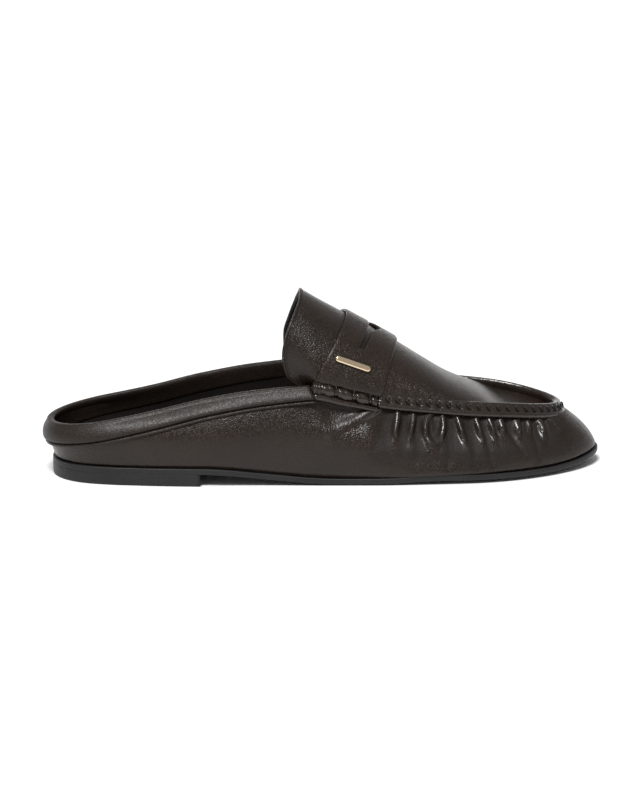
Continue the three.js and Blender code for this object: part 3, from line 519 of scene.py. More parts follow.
def wall_normal(a, v, side):
    """Outward normal of the side wall in the upright plane across its outline."""
    step = 0.02
    high = wall_point(a, np.minimum(v + step, 1), side)
    low = wall_point(a, np.maximum(v - step, 0), side)
    rise = high - low
    out = outline_normal(a, side)
    lean = np.sum(rise * out, axis=-1)
    return unit(stack(out[..., 0] * rise[..., 2], out[..., 1] * rise[..., 2], -lean))


def top_point(x, q, sunk=0.0):
    """Point of the instep and apron, q from -1 on the outer side to 1 on the inner."""
    share = topline_share(x)
    outer = rim_point(share, OUTER, sunk)
    inner = rim_point(share, INNER, sunk)
    turn = (q + 1) * np.pi / 2
    along = (x - TOPLINE_BACK) / TOPLINE_LENGTH
    point = mix(outer, inner, ((1 - np.cos(turn)) / 2)[..., None])
    rise = crest["height"](along) * INSTEP_HEIGHT - sunk - point[..., 2]
    arch = np.power(np.clip(np.sin(turn), 0, 1), crest["arch"](along))
    point[..., 2] += rise * arch
    return point


def tongue_point(share, q, sunk=0.0):
    """Point of the tongue's flap, share from 0 at the throat to 1 at its free edge."""
    place = np.abs(q)
    reach = np.where(q < 0, tongue["outer"](place), tongue["inner"](place)) * TONGUE_REACH
    tuck = tongue["tuck"](place) * smooth(share / TUCK_RUN)
    point = top_point(THROAT - reach * share, q, sunk)
    point[..., 1] -= np.sign(q) * TONGUE_TUCK * tuck
    point[..., 2] -= TONGUE_DROP * tuck
    return point


def apron_point(t, q, sunk=0.0):
    """Apron and tongue in one sheet: t from -1 at the free edge, 0 at the throat, 1 at the toe."""
    share = np.maximum(-t, 0)
    throat = topline_share(THROAT)
    a = throat + (1 - throat) * np.maximum(t, 0)
    x = TOPLINE_BACK + along_share(a) * TOPLINE_LENGTH
    return np.where((t < 0)[..., None], tongue_point(share, q, sunk), top_point(x, q, sunk))


def top_offset(x, q, height):
    """Point over the instep at a height along its normal."""
    step = 0.01
    forward = top_point(x + 1, q) - top_point(x - 1, q)
    across = top_point(x, np.minimum(q + step, 1)) - top_point(x, np.maximum(q - step, -1))
    return top_point(x, q) + unit(np.cross(forward, across)) * height


def grid_faces(rows, cols, wrap=False):
    """Quads of a grid whose corners are numbered row by row; wrap closes the columns into a ring."""
    r, c = np.meshgrid(np.arange(rows - 1), np.arange(cols if wrap else cols - 1), indexing="ij")
    nxt = (c + 1) % cols
    quads = np.stack([r * cols + c, r * cols + nxt, (r + 1) * cols + nxt, (r + 1) * cols + c], axis=-1)
    return quads.reshape(-1, 4)


def closed_shell(outer, inner, faces, roundness=0.9, steps=3):
    """Closed solid between two sheets of the same faces, with rounded borders."""
    outer = outer.reshape(-1, 3)
    inner = inner.reshape(-1, 3)
    count = len(outer)
    edges = {}
    for face in faces:
        for k in range(4):
            edges[(face[k], face[(k + 1) % 4])] = face
    border = [edge for edge in edges if (edge[1], edge[0]) not in edges]
    push = {}
    for a, b in border:
        face = edges[(a, b)]
        normal = np.cross(outer[face[2]] - outer[face[0]], outer[face[3]] - outer[face[1]])
        way = np.cross(outer[b] - outer[a], normal)
        way = way / max(np.linalg.norm(way), 1e-9)
        for corner in (a, b):
            push[corner] = push.get(corner, np.zeros(3)) + way
    points = [outer, inner]
    first = {}
    extra = []
    for corner, way in push.items():
        first[corner] = 2 * count + len(extra)
        middle = (outer[corner] + inner[corner]) / 2
        half = (outer[corner] - inner[corner]) / 2
        out = way / max(np.linalg.norm(way), 1e-9) * np.linalg.norm(half) * roundness
        for k in range(1, steps + 1):
            turn = math.pi * k / (steps + 1)
            extra.append(middle + half * math.cos(turn) + out * math.sin(turn))
    if extra:
        points.append(np.array(extra))
    quads = [tuple(face) for face in faces]
    quads += [tuple(count + corner for corner in reversed(face)) for face in faces]
    for a, b in border:
        line_a = [a] + [first[a] + k for k in range(steps)] + [a + count]
        line_b = [b] + [first[b] + k for k in range(steps)] + [b + count]
        for k in range(steps + 1):
            quads.append((line_b[k], line_a[k], line_a[k + 1], line_b[k + 1]))
    return np.concatenate(points), quads


def ring_tube(rings):
    """Closed tube through rings of points, with flat ends; rings is stations by corners by 3."""
    stations, count = rings.shape[:2]
    faces = [tuple(face) for face in grid_faces(stations, count, wrap=True)]
    faces.append(tuple(reversed(range(count))))
    faces.append(tuple((stations - 1) * count + i for i in range(count)))
    return rings.reshape(-1, 3), faces


def make_mesh(name, points, faces):
    """Mesh from millimetre points of the sole's frame, in metres in the row frame."""
    mesh = bpy.data.meshes.new(name)
    mesh.from_pydata(((np.asarray(points) - ORIGIN) * MM).tolist(), [], [tuple(map(int, f)) for f in faces])
    mesh.validate()
    mesh.shade_smooth()
    return mesh


def signed_volume(mesh):
    """Volume that the faces enclose, below zero where they point inwards."""
    mesh.calc_loop_triangles()
    corners = np.zeros(len(mesh.loop_triangles) * 3, np.int32)
    mesh.loop_triangles.foreach_get("vertices", corners)
    place = np.zeros(len(mesh.vertices) * 3)
    mesh.vertices.foreach_get("co", place)
    tri = place.reshape(-1, 3)[corners.reshape(-1, 3)]
    return np.einsum("ij,ij->i", tri[:, 0], np.cross(tri[:, 1], tri[:, 2])).sum() / 6


def add_piece(name, mesh, material, stands_for=()):
    """Links a finished mesh as a piece that rides on the shoe."""
    if signed_volume(mesh) < 0:
        mesh.flip_normals()
    piece = bpy.data.objects.new(name, mesh)
    bpy.context.scene.collection.objects.link(piece)
    mesh.materials.append(material)
    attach(piece, "root")
    if stands_for:
        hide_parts(*stands_for)
    return piece


def add_shell(name, shell, material, stands_for=()):
    """Links a piece that is given as millimetre points and faces."""
    return add_piece(name, make_mesh(name, *shell), material, stands_for)


def joined(parts):
    """One list of points and faces from several."""
    points = []
    faces = []
    start = 0
    for part_points, part_faces in parts:
        points.append(np.asarray(part_points))
        faces += [tuple(int(corner) + start for corner in face) for face in part_faces]
        start += len(part_points)
    return np.concatenate(points), faces


def add_node(tree, kind, settings=None, inputs=None, links=None):
    """Adds a node with its settings, values and incoming links."""
    node = tree.nodes.new(kind)
    for name, value in (settings or {}).items():
        setattr(node, name, value)
    for name, value in (inputs or {}).items():
        node.inputs[name].default_value = value
    for name, source in (links or {}).items():
        tree.links.new(source, node.inputs[name])
    return node


def new_socket(tree, name, kind, way, value=None):
    socket = tree.interface.new_socket(name=name, in_out=way, socket_type=kind)
    if value is not None:
        socket.default_value = value


def pebble_group():
    """Shader group: height of a fine pebbled hide with soft stretch lines."""
    tree = bpy.data.node_groups.get("pebbled_hide")
    if tree:
        return tree
    tree = bpy.data.node_groups.new("pebbled_hide", "ShaderNodeTree")
    new_socket(tree, "Vector", "NodeSocketVector", "INPUT")
    new_socket(tree, "Grains per Metre", "NodeSocketFloat", "INPUT", 1200.0)
    new_socket(tree, "Crease Share", "NodeSocketFloat", "INPUT", 0.35)
    new_socket(tree, "Height", "NodeSocketFloat", "OUTPUT")
    new_socket(tree, "Pore", "NodeSocketFloat", "OUTPUT")
    given = add_node(tree, "NodeGroupInput").outputs
    warp = add_node(
        tree,
        "ShaderNodeTexNoise",
        inputs={"Scale": 260.0, "Detail": 2.0},
        links={"Vector": given["Vector"]},
    )
    bent = add_node(
        tree,
        "ShaderNodeVectorMath",
        {"operation": "MULTIPLY_ADD"},
        links={0: warp.outputs["Color"], 2: given["Vector"]},
    )
    bent.inputs[1].default_value = (0.0012, 0.0012, 0.0012)
    cells = add_node(
        tree,
        "ShaderNodeTexVoronoi",
        {"feature": "SMOOTH_F1"},
        {"Smoothness": 0.35},
        {"Vector": bent.outputs[0], "Scale": given["Grains per Metre"]},
    )
    dome = add_node(
        tree,
        "ShaderNodeMapRange",
        {"interpolation_type": "SMOOTHSTEP"},
        {"From Min": 0.1, "From Max": 0.62, "To Min": 1.0, "To Max": 0.0},
        {"Value": cells.outputs["Distance"]},
    )
    lines = add_node(
        tree,
        "ShaderNodeTexNoise",
        inputs={"Scale": 420.0, "Detail": 5.0, "Roughness": 0.62},
        links={"Vector": given["Vector"]},
    )
    total = add_node(
        tree,
        "ShaderNodeMix",
        {"data_type": "FLOAT"},
        links={"Factor": given["Crease Share"], "A": dome.outputs["Result"], "B": lines.outputs["Fac"]},
    )
    pore = add_node(
        tree,
        "ShaderNodeMapRange",
        inputs={"From Min": 0.45, "From Max": 0.75},
        links={"Value": cells.outputs["Distance"]},
    )
    results = {"Height": total.outputs["Result"], "Pore": pore.outputs["Result"]}
    add_node(tree, "NodeGroupOutput", links=results)
    return tree


def tone_group():
    """Shader group: colour and roughness that drift over a hide, darker in its pores."""
    tree = bpy.data.node_groups.get("hide_tone")
    if tree:
        return tree
    tree = bpy.data.node_groups.new("hide_tone", "ShaderNodeTree")
    new_socket(tree, "Vector", "NodeSocketVector", "INPUT")
    new_socket(tree, "Colour", "NodeSocketColor", "INPUT", (0.03, 0.02, 0.016, 1.0))
    new_socket(tree, "Worn Colour", "NodeSocketColor", "INPUT", (0.05, 0.035, 0.028, 1.0))
    new_socket(tree, "Pore", "NodeSocketFloat", "INPUT", 0.0)
    new_socket(tree, "Smooth", "NodeSocketFloat", "INPUT", 0.3)
    new_socket(tree, "Rough", "NodeSocketFloat", "INPUT", 0.5)
    new_socket(tree, "Colour", "NodeSocketColor", "OUTPUT")
    new_socket(tree, "Roughness", "NodeSocketFloat", "OUTPUT")
    given = add_node(tree, "NodeGroupInput").outputs
    drift = add_node(
        tree,
        "ShaderNodeTexNoise",
        inputs={"Scale": 38.0, "Detail": 4.0, "Roughness": 0.6},
        links={"Vector": given["Vector"]},
    )
    patch = add_node(
        tree,
        "ShaderNodeMapRange",
        inputs={"From Min": 0.35, "From Max": 0.7},
        links={"Value": drift.outputs["Fac"]},
    )
    tint = add_node(
        tree,
        "ShaderNodeMix",
        {"data_type": "RGBA"},
        links={"Factor": patch.outputs["Result"], "A": given["Colour"], "B": given["Worn Colour"]},
    )
    shade = add_node(
        tree,
        "ShaderNodeMapRange",
        inputs={"To Min": 1.0, "To Max": 0.62},
        links={"Value": given["Pore"]},
    )
    dark = add_node(
        tree,
        "ShaderNodeVectorMath",
        {"operation": "SCALE"},
        links={0: tint.outputs["Result"], "Scale": shade.outputs["Result"]},
    )
    fine = add_node(
        tree,
        "ShaderNodeTexNoise",
        inputs={"Scale": 900.0, "Detail": 3.0},
        links={"Vector": given["Vector"]},
    )
    rough = add_node(
        tree,
        "ShaderNodeMapRange",
        inputs={"From Min": 0.3, "From Max": 0.7},
        links={"Value": fine.outputs["Fac"], "To Min": given["Smooth"], "To Max": given["Rough"]},
    )
    results = {"Colour": dark.outputs[0], "Roughness": rough.outputs["Result"]}
    add_node(tree, "NodeGroupOutput", links=results)
    return tree


def place_group(tree, group, inputs=None, links=None):
    """Places a shader group with its values and incoming links."""
    node = tree.nodes.new("ShaderNodeGroup")
    node.node_tree = group
    for name, value in (inputs or {}).items():
        node.inputs[name].default_value = value
    for name, source in (links or {}).items():
        tree.links.new(source, node.inputs[name])
    return node


def lighter(colour, factor):
    """A colour scaled by a factor, with full alpha."""
    return tuple(min(channel * factor, 1.0) for channel in colour[:3]) + (1.0,)


def hide_material(name, tint, smooth_end, rough_end, grains, relief, coat=0.0, crease=0.35, shine=0.31):
    """Leather: pebbled relief in millimetres, drifting tone and gloss, and a thin clear finish.

    A mesh may carry how dull each of its points is, which also darkens the colour there as painted shade;
    where it doesn't, no point is.
    """
    material = bpy.data.materials.get(name)
    if material:
        return material
    material = bpy.data.materials.new(name)
    material.use_nodes = True
    tree = material.node_tree
    shader = tree.nodes["Principled BSDF"]
    place = add_node(tree, "ShaderNodeTexCoord").outputs["Object"]
    grain = place_group(
        tree,
        pebble_group(),
        {"Grains per Metre": grains, "Crease Share": crease},
        {"Vector": place},
    )
    tone = place_group(
        tree,
        tone_group(),
        {
            "Colour": lighter(tint, 1.0),
            "Worn Colour": lighter(tint, 1.5),
            "Smooth": smooth_end,
            "Rough": rough_end,
        },
        {"Vector": place, "Pore": grain.outputs["Pore"]},
    )
    bump = add_node(
        tree,
        "ShaderNodeBump",
        inputs={"Strength": 1.0, "Distance": relief * MM},
        links={"Height": grain.outputs["Height"]},
    )
    # How dull each point is; the same value carries the painted shade of the gathers.
    dull_and_shade = add_node(tree, "ShaderNodeAttribute", {"attribute_name": "dull_and_shade"})
    rough = add_node(
        tree,
        "ShaderNodeMath",
        {"operation": "MULTIPLY_ADD"},
        inputs={1: DULL_ROUGHNESS},
        links={0: dull_and_shade.outputs["Fac"], 2: tone.outputs["Roughness"]},
    )
    thin_coat = add_node(
        tree,
        "ShaderNodeMath",
        {"operation": "MULTIPLY_ADD", "use_clamp": True},
        inputs={1: DULL_COAT, 2: coat},
        links={0: dull_and_shade.outputs["Fac"]},
    )
    # Painted shade: the colour is darkened where the mesh marks the leather as dull.
    shade = add_node(
        tree,
        "ShaderNodeMapRange",
        inputs={"To Min": 1.0, "To Max": GATHER_PAINTED_SHADE},
        links={"Value": dull_and_shade.outputs["Fac"]},
    )
    colour = add_node(
        tree,
        "ShaderNodeVectorMath",
        {"operation": "SCALE"},
        links={0: tone.outputs["Colour"], "Scale": shade.outputs["Result"]},
    )
    tree.links.new(colour.outputs[0], shader.inputs["Base Color"])
    tree.links.new(rough.outputs[0], shader.inputs["Roughness"])
    tree.links.new(bump.outputs["Normal"], shader.inputs["Normal"])
    tree.links.new(thin_coat.outputs[0], shader.inputs["Coat Weight"])
    shader.inputs["Coat Roughness"].default_value = 0.2
    shader.inputs["Specular IOR Level"].default_value = shine
    return material


def metal_material(name, colour):
    """Polished pale gold with fine brushing."""
    material = bpy.data.materials.get(name)
    if material:
        return material
    material = bpy.data.materials.new(name)
    material.use_nodes = True
    tree = material.node_tree
    shader = tree.nodes["Principled BSDF"]
    place = add_node(tree, "ShaderNodeTexCoord").outputs["Object"]
    stretched = add_node(tree, "ShaderNodeMapping", links={"Vector": place})
    stretched.inputs["Scale"].default_value = (0.08, 1.0, 1.0)
    scratches = add_node(
        tree,
        "ShaderNodeTexNoise",
        inputs={"Scale": 5200.0, "Detail": 2.0},
        links={"Vector": stretched.outputs["Vector"]},
    )
    rough = add_node(
        tree,
        "ShaderNodeMapRange",
        inputs={"To Min": 0.12, "To Max": 0.3},
        links={"Value": scratches.outputs["Fac"]},
    )
    bump = add_node(
        tree,
        "ShaderNodeBump",
        inputs={"Strength": 0.25, "Distance": 0.00001},
        links={"Height": scratches.outputs["Fac"]},
    )
    tree.links.new(rough.outputs["Result"], shader.inputs["Roughness"])
    tree.links.new(bump.outputs["Normal"], shader.inputs["Normal"])
    shader.inputs["Base Color"].default_value = lighter(colour, 1.0)
    shader.inputs["Metallic"].default_value = 1.0
    return material


def leather():
    """Soft glossy leather of the upper and the strap."""
    finish = bpy.context.scene.loafer_finish
    return hide_material(
        "upper_hide",
        finish.leather_colour,
        smooth_end=finish.gloss,
        rough_end=finish.gloss + 0.12,
        grains=1450.0,
        relief=0.14,
        coat=0.08,
    )


def collar_hide():
    """The same leather, less polished."""
    finish = bpy.context.scene.loafer_finish
    return hide_material(
        "collar_hide",
        finish.leather_colour,
        smooth_end=finish.gloss + 0.14,
        rough_end=finish.gloss + 0.26,
        grains=1550.0,
        relief=0.14,
        coat=0.03,
    )


def stretched_hide():
    """The same leather pulled smooth over the rolls and the seam."""
    finish = bpy.context.scene.loafer_finish
    shiny = finish.gloss * 0.7
    return hide_material(
        "stretched_hide",
        finish.leather_colour,
        smooth_end=shiny,
        rough_end=shiny + 0.1,
        grains=1450.0,
        relief=0.06,
        coat=0.2,
        shine=0.45,
    )


def lining_hide():
    finish = bpy.context.scene.loafer_finish
    return hide_material(
        "lining_hide",
        finish.lining_colour,
        smooth_end=0.5,
        rough_end=0.7,
        grains=2200.0,
        relief=0.04,
        crease=0.6,
        shine=0.22,
    )


def sole_hide():
    finish = bpy.context.scene.loafer_finish
    return hide_material(
        "sole_edge",
        finish.sole_colour,
        smooth_end=0.42,
        rough_end=0.58,
        grains=2600.0,
        relief=0.02,
        crease=0.8,
    )


def thread_material():
    finish = bpy.context.scene.loafer_finish
    return hide_material(
        "waxed_thread",
        finish.thread_colour,
        smooth_end=0.4,
        rough_end=0.6,
        grains=5200.0,
        relief=0.05,
        crease=0.5,
    )


def stitch_tree():
    """Geometry Nodes: one arched stitch on every point, turned by the points' own directions."""
    tree = bpy.data.node_groups.get("stitches")
    if tree:
        return tree
    tree = bpy.data.node_groups.new("stitches", "GeometryNodeTree")
    new_socket(tree, "Geometry", "NodeSocketGeometry", "INPUT")
    new_socket(tree, "Stitch Length", "NodeSocketFloat", "INPUT", 0.002)
    new_socket(tree, "Stitch Height", "NodeSocketFloat", "INPUT", 0.0004)
    new_socket(tree, "Thread Radius", "NodeSocketFloat", "INPUT", 0.0002)
    new_socket(tree, "Thread", "NodeSocketMaterial", "INPUT")
    new_socket(tree, "Geometry", "NodeSocketGeometry", "OUTPUT")
    given = add_node(tree, "NodeGroupInput").outputs
    half = add_node(tree, "ShaderNodeMath", {"operation": "MULTIPLY"}, links={0: given["Stitch Length"]})
    half.inputs[1].default_value = 0.5
    minus = add_node(tree, "ShaderNodeMath", {"operation": "MULTIPLY"}, links={0: given["Stitch Length"]})
    minus.inputs[1].default_value = -0.5
    peak = add_node(tree, "ShaderNodeMath", {"operation": "MULTIPLY"}, links={0: given["Stitch Height"]})
    peak.inputs[1].default_value = 2.0
    start = add_node(tree, "ShaderNodeCombineXYZ", links={"X": minus.outputs[0]})
    middle = add_node(tree, "ShaderNodeCombineXYZ", links={"Z": peak.outputs[0]})
    end = add_node(tree, "ShaderNodeCombineXYZ", links={"X": half.outputs[0]})
    arc = add_node(
        tree,
        "GeometryNodeCurveQuadraticBezier",
        inputs={"Resolution": 5},
        links={"Start": start.outputs[0], "Middle": middle.outputs[0], "End": end.outputs[0]},
    )
    circle = add_node(
        tree,
        "GeometryNodeCurvePrimitiveCircle",
        inputs={"Resolution": 6},
        links={"Radius": given["Thread Radius"]},
    )
    thread = add_node(
        tree,
        "GeometryNodeCurveToMesh",
        inputs={"Fill Caps": True},
        links={"Curve": arc.outputs["Curve"], "Profile Curve": circle.outputs["Curve"]},
    )
    kind = {"data_type": "FLOAT_VECTOR"}
    along = add_node(tree, "GeometryNodeInputNamedAttribute", kind, {"Name": "along"})
    out = add_node(tree, "GeometryNodeInputNamedAttribute", kind, {"Name": "out"})
    lengthwise = add_node(
        tree,
        "FunctionNodeAlignRotationToVector",
        {"axis": "X"},
        links={"Vector": along.outputs["Attribute"]},
    )
    upright = add_node(
        tree,
        "FunctionNodeAlignRotationToVector",
        {"axis": "Z", "pivot_axis": "X"},
        links={"Rotation": lengthwise.outputs["Rotation"], "Vector": out.outputs["Attribute"]},
    )
    placed = add_node(
        tree,
        "GeometryNodeInstanceOnPoints",
        links={
            "Points": given["Geometry"],
            "Instance": thread.outputs["Mesh"],
            "Rotation": upright.outputs["Rotation"],
        },
    )
    real = add_node(tree, "GeometryNodeRealizeInstances", links={"Geometry": placed.outputs["Instances"]})
    soft = add_node(tree, "GeometryNodeSetShadeSmooth", links={"Geometry": real.outputs["Geometry"]})
    finished = add_node(
        tree,
        "GeometryNodeSetMaterial",
        links={"Geometry": soft.outputs["Geometry"], "Material": given["Thread"]},
    )
    add_node(tree, "NodeGroupOutput", links={"Geometry": finished.outputs["Geometry"]})
    return tree


def add_stitches(name, places, along, out, length, height, radius):
    """A row of stitches at millimetre places, each lying along one direction and arched out by another."""
    points = bpy.data.meshes.new(name)
    points.from_pydata(((places - ORIGIN) * MM).tolist(), [], [])
    for label, values in (("along", along), ("out", out)):
        attribute = points.attributes.new(label, "FLOAT_VECTOR", "POINT")
        attribute.data.foreach_set("vector", unit(values).reshape(-1))
    holder = bpy.data.objects.new(name, points)
    bpy.context.scene.collection.objects.link(holder)
    modifier = holder.modifiers.new("stitches", "NODES")
    tree = stitch_tree()
    modifier.node_group = tree
    values = {
        "Stitch Length": length * MM,
        "Stitch Height": height * MM,
        "Thread Radius": radius * MM,
        "Thread": thread_material(),
    }
    for item in tree.interface.items_tree:
        if item.in_out == "INPUT" and item.name in values:
            modifier[item.identifier] = values[item.name]
    holder.update_tag()
    bpy.context.view_layer.update()
    evaluated = holder.evaluated_get(bpy.context.evaluated_depsgraph_get())
    mesh = bpy.data.meshes.new_from_object(evaluated)
    holder.modifiers.remove(modifier)
    holder.data = mesh
    bpy.data.meshes.remove(points)
    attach(holder, "root")
    return holder


def spaced(points, pitch):
    """Places at an even pitch along a line of points, with the line's direction there."""
    steps = np.linalg.norm(np.diff(points, axis=0), axis=1)
    run = np.concatenate([[0], np.cumsum(steps)])
    count = max(int(run[-1] / pitch), 1)
    at = (np.arange(count) + 0.5) * run[-1] / count
    place = np.stack([np.interp(at, run, points[:, k]) for k in range(3)], axis=1)
    ahead = np.stack([np.interp(at + 0.3, run, points[:, k]) for k in range(3)], axis=1)
    behind = np.stack([np.interp(at - 0.3, run, points[:, k]) for k in range(3)], axis=1)
    return place, unit(ahead - behind), at / run[-1]


def ring_stations(rear, gathers, toe):
    """Shares of the half outline: even behind the throat, close along the gathers, even at the toe."""
    start = topline_share(CLOSE_FROM)
    end = topline_share(CLOSE_TO)
    parts = [np.linspace(0, start, rear + 1), np.linspace(start, end, gathers + 1)[1:]]
    parts.append(np.linspace(end, 1, toe + 1)[1:])
    return np.concatenate(parts)


def around(stations):
    """Stations and sides of a full ring: the outer side from back to toe, then the inner side back."""
    shares = np.concatenate([stations, stations[1:-1][::-1]])
    sides = np.concatenate([np.full(len(stations), OUTER), np.full(len(stations) - 2, INNER)])
    return shares, sides


def wall_rows(count):
    """Heights up the wall, closer at both edges."""
    even = np.linspace(0, 1, count)
    return mix(even, (1 - np.cos(np.pi * even)) / 2, 0.55)


def wall_shell(sunk, thickness, stations, rows, shape):
    """Side wall as a closed sheet, with the dullness and painted shade of each of its points."""
    a, side = around(stations)
    v = wall_rows(rows)
    aa, vv = np.meshgrid(a, v)
    ss = np.broadcast_to(side, aa.shape)
    outer = wall_point(aa, vv, ss, sunk, shape)
    inner = wall_point(aa, vv, ss, sunk + thickness, shape)
    points, faces = closed_shell(outer, inner, grid_faces(len(v), len(a), wrap=True), roundness=0.5)
    dull_and_shade = np.zeros(len(points))
    dull_and_shade[: aa.size] = dull_and_shade_share(outer[..., 0] - ORIGIN[0], np.sin(vv * np.pi / 2), ss).reshape(-1)
    return points, faces, dull_and_shade


def apron_shell(sunk, thickness, flap_rows, front_rows, across, side_limit):
    """Apron and tongue as one sheet; behind the throat it is as wide as the side limit."""
    flap = -np.linspace(1, 0, flap_rows + 1)[:-1]
    front = np.linspace(0, 0.992, front_rows + 1)
    t = np.concatenate([flap, front])
    half = np.sin(np.linspace(0, np.pi / 2, across + 1))
    half = half * side_limit
    q = np.concatenate([-half[::-1], half[1:]])
    q = np.concatenate([[-1.0, -0.985], q, [0.985, 1.0]])
    tt, qq = np.meshgrid(t, q, indexing="ij")
    outer = apron_point(tt, qq, sunk)
    inner = apron_point(tt, qq, sunk + thickness)
    faces = grid_faces(len(t), len(q))
    cols = len(q)
    row = faces[:, 0] // cols
    col = faces[:, 0] % cols
    kept = (row >= flap_rows) | ((col >= 2) & (col < cols - 3))
    return closed_shell(outer, inner, faces[kept][:, ::-1], roundness=0.9)


class LoaferShape(PropertyGroup):
    """Sizes of the soft details."""

    gather_height: FloatProperty(
        name="Gather Height",
        description="How far the gathers of the wall stand out",
        default=0.0023,
        min=0,
        max=0.004,
        unit="LENGTH",
    )
    hollow_depth: FloatProperty(
        name="Hollow Depth",
        description="How far the wall sinks under the rolls",
        default=0.0028,
        min=0,
        max=0.004,
        unit="LENGTH",
    )
    collar_crown: FloatProperty(
        name="Collar Crown",
        description="Padding in the middle of the collar's band",
        default=0.00012,
        min=0,
        max=0.002,
        unit="LENGTH",
    )
    whip_pitch: FloatProperty(
        name="Whip Pitch",
        description="Distance between the whip stitches of the apron seam",
        default=0.0047,
        min=0.002,
        max=0.01,
        unit="LENGTH",
    )
    edge_stitch: FloatProperty(
        name="Edge Stitch",
        description="Pitch of the fine stitches along the tongue's edge",
        default=0.00125,
        min=0.001,
        max=0.005,
        unit="LENGTH",
    )
    edge_bead: FloatProperty(
        name="Edge Bead",
        description="Thickness of the bead along the tongue's edge",
        default=0.0012,
        min=0.0005,
        max=0.003,
        unit="LENGTH",
    )
    thread: FloatProperty(
        name="Thread",
        description="Diameter of the whip thread",
        default=0.0008,
        min=0.0002,
        max=0.002,
        unit="LENGTH",
    )


class LoaferFinish(PropertyGroup):
    """Colours and gloss."""

    leather_colour: FloatVectorProperty(
        name="Leather",
        description="Colour of the upper's leather",
        subtype="COLOR",
        default=(0.0135, 0.008, 0.005),
        min=0,
        max=1,
    )
    lining_colour: FloatVectorProperty(
        name="Lining",
        description="Colour of the lining and the insole",
        subtype="COLOR",
        default=(0.006, 0.004, 0.0035),
        min=0,
        max=1,
    )
    sole_colour: FloatVectorProperty(
        name="Sole",
        description="Colour of the sole's edge and the heel",
        subtype="COLOR",
        default=(0.0125, 0.0115, 0.0125),
        min=0,
        max=1,
    )
    thread_colour: FloatVectorProperty(
        name="Thread",
        description="Colour of the thread",
        subtype="COLOR",
        default=(0.012, 0.009, 0.008),
        min=0,
        max=1,
    )
    metal_colour: FloatVectorProperty(
        name="Metal",
        description="Colour of the bar",
        subtype="COLOR",
        default=(0.86, 0.68, 0.46),
        min=0,
        max=1,
    )
    gloss: FloatProperty(
        name="Gloss",
        description="Lowest roughness of the upper's leather",
        default=0.27,
        min=0.05,
        max=0.9,
        subtype="FACTOR",
    )


class LoaferStage(PropertyGroup):
    """Camera and light."""

    yaw: FloatProperty(
        name="Yaw",
        description="How far the camera stands towards the heel",
        default=math.radians(3.5),
        subtype="ANGLE",
    )
    elevation: FloatProperty(
        name="Elevation",
        description="How far the camera looks down",
        default=math.radians(13),
        subtype="ANGLE",
    )
    distance: FloatProperty(
        name="Distance",
        description="From the camera to the shoe",
        default=1.9,
        unit="LENGTH",
    )
    key_power: FloatProperty(
        name="Key Light",
        description="Strength of the main light in watts a square metre",
        default=3.5,
        min=0,
    )
    key_size: FloatProperty(
        name="Key Size",
        description="How broad the main light looks from the shoe",
        default=math.radians(20),
        min=0,
        subtype="ANGLE",
    )
    back_power: FloatProperty(
        name="Back Light",
        description="Power of the soft light behind the shoe in watts",
        default=0.4,
        min=0,
        unit="POWER",
    )


class LOAFER_OT_wall(Operator):
    """Builds the gathered side wall of the upper"""

    bl_idname = "loafer.wall"
    bl_label = "Side Wall"

    def execute(self, context):
        shape = context.scene.loafer_shape
        stations = ring_stations(56, 210, 60)
        points, faces, dull_and_shade = wall_shell(0.0, LEATHER, stations, 46, shape)
        mesh = make_mesh("wall_leather", points, faces)
        # The dullness also darkens the wall's colour as painted shade between the gathers and in the folds.
        mesh.attributes.new("dull_and_shade", "FLOAT", "POINT").data.foreach_set("value", dull_and_shade)
        add_piece("wall_leather", mesh, leather(), ("upper",))
        return {"FINISHED"}


class LOAFER_OT_apron(Operator):
    """Builds the apron with the tongue, and the stitches along the tongue's edge"""

    bl_idname = "loafer.apron"
    bl_label = "Apron and Tongue"

    def execute(self, context):
        shape = context.scene.loafer_shape
        sheet = apron_shell(0.0, LEATHER, 30, 110, 44, TONGUE_SIDE)
        q = np.linspace(-TONGUE_SIDE + 0.004, TONGUE_SIDE - 0.004, 300)
        edge = apron_point(-np.full(300, 0.985), q, 0.0)
        turns = np.linspace(0, 2 * math.pi, 11)[:-1]
        run = unit(np.gradient(edge, axis=0))
        over = unit(apron_point(-np.full(300, 0.9), q, 0.0) - edge)
        rise = unit(np.cross(run, over))
        rise = rise * np.where(rise[:, 2:] < 0, -1, 1)
        middle = edge - rise * 0.3
        fat = shape.edge_bead / MM / 2
        rings = [middle + over * fat * math.cos(t) + rise * fat * 1.15 * math.sin(t) for t in turns]
        bead = ring_tube(np.stack(rings, axis=1))
        add_shell("apron_leather", joined([sheet, bead]), leather())
        line = apron_point(-np.full(300, 0.89), q, 0.0)
        place, along, share = spaced(line, shape.edge_stitch / MM)
        out = np.stack([np.interp(share, np.linspace(0, 1, 300), rise[:, k]) for k in range(3)], axis=1)
        add_stitches("tongue_stitches", place, along, out, 0.85, 0.16, 0.17)
        return {"FINISHED"}


class LOAFER_OT_lining(Operator):
    """Builds the lining of the wall and of the tongue"""

    bl_idname = "loafer.lining"
    bl_label = "Lining"

    def execute(self, context):
        thickness = UPPER_WALL - LEATHER - 0.05
        stations = ring_stations(48, 90, 36)
        side = wall_shell(LEATHER + 0.05, thickness, stations, 30, context.scene.loafer_shape)[:2]
        roof = apron_shell(LEATHER + 0.05, thickness, 14, 60, 28, TONGUE_SIDE - 0.006)
        add_shell("lining", joined([side, roof]), lining_hide())
        return {"FINISHED"}


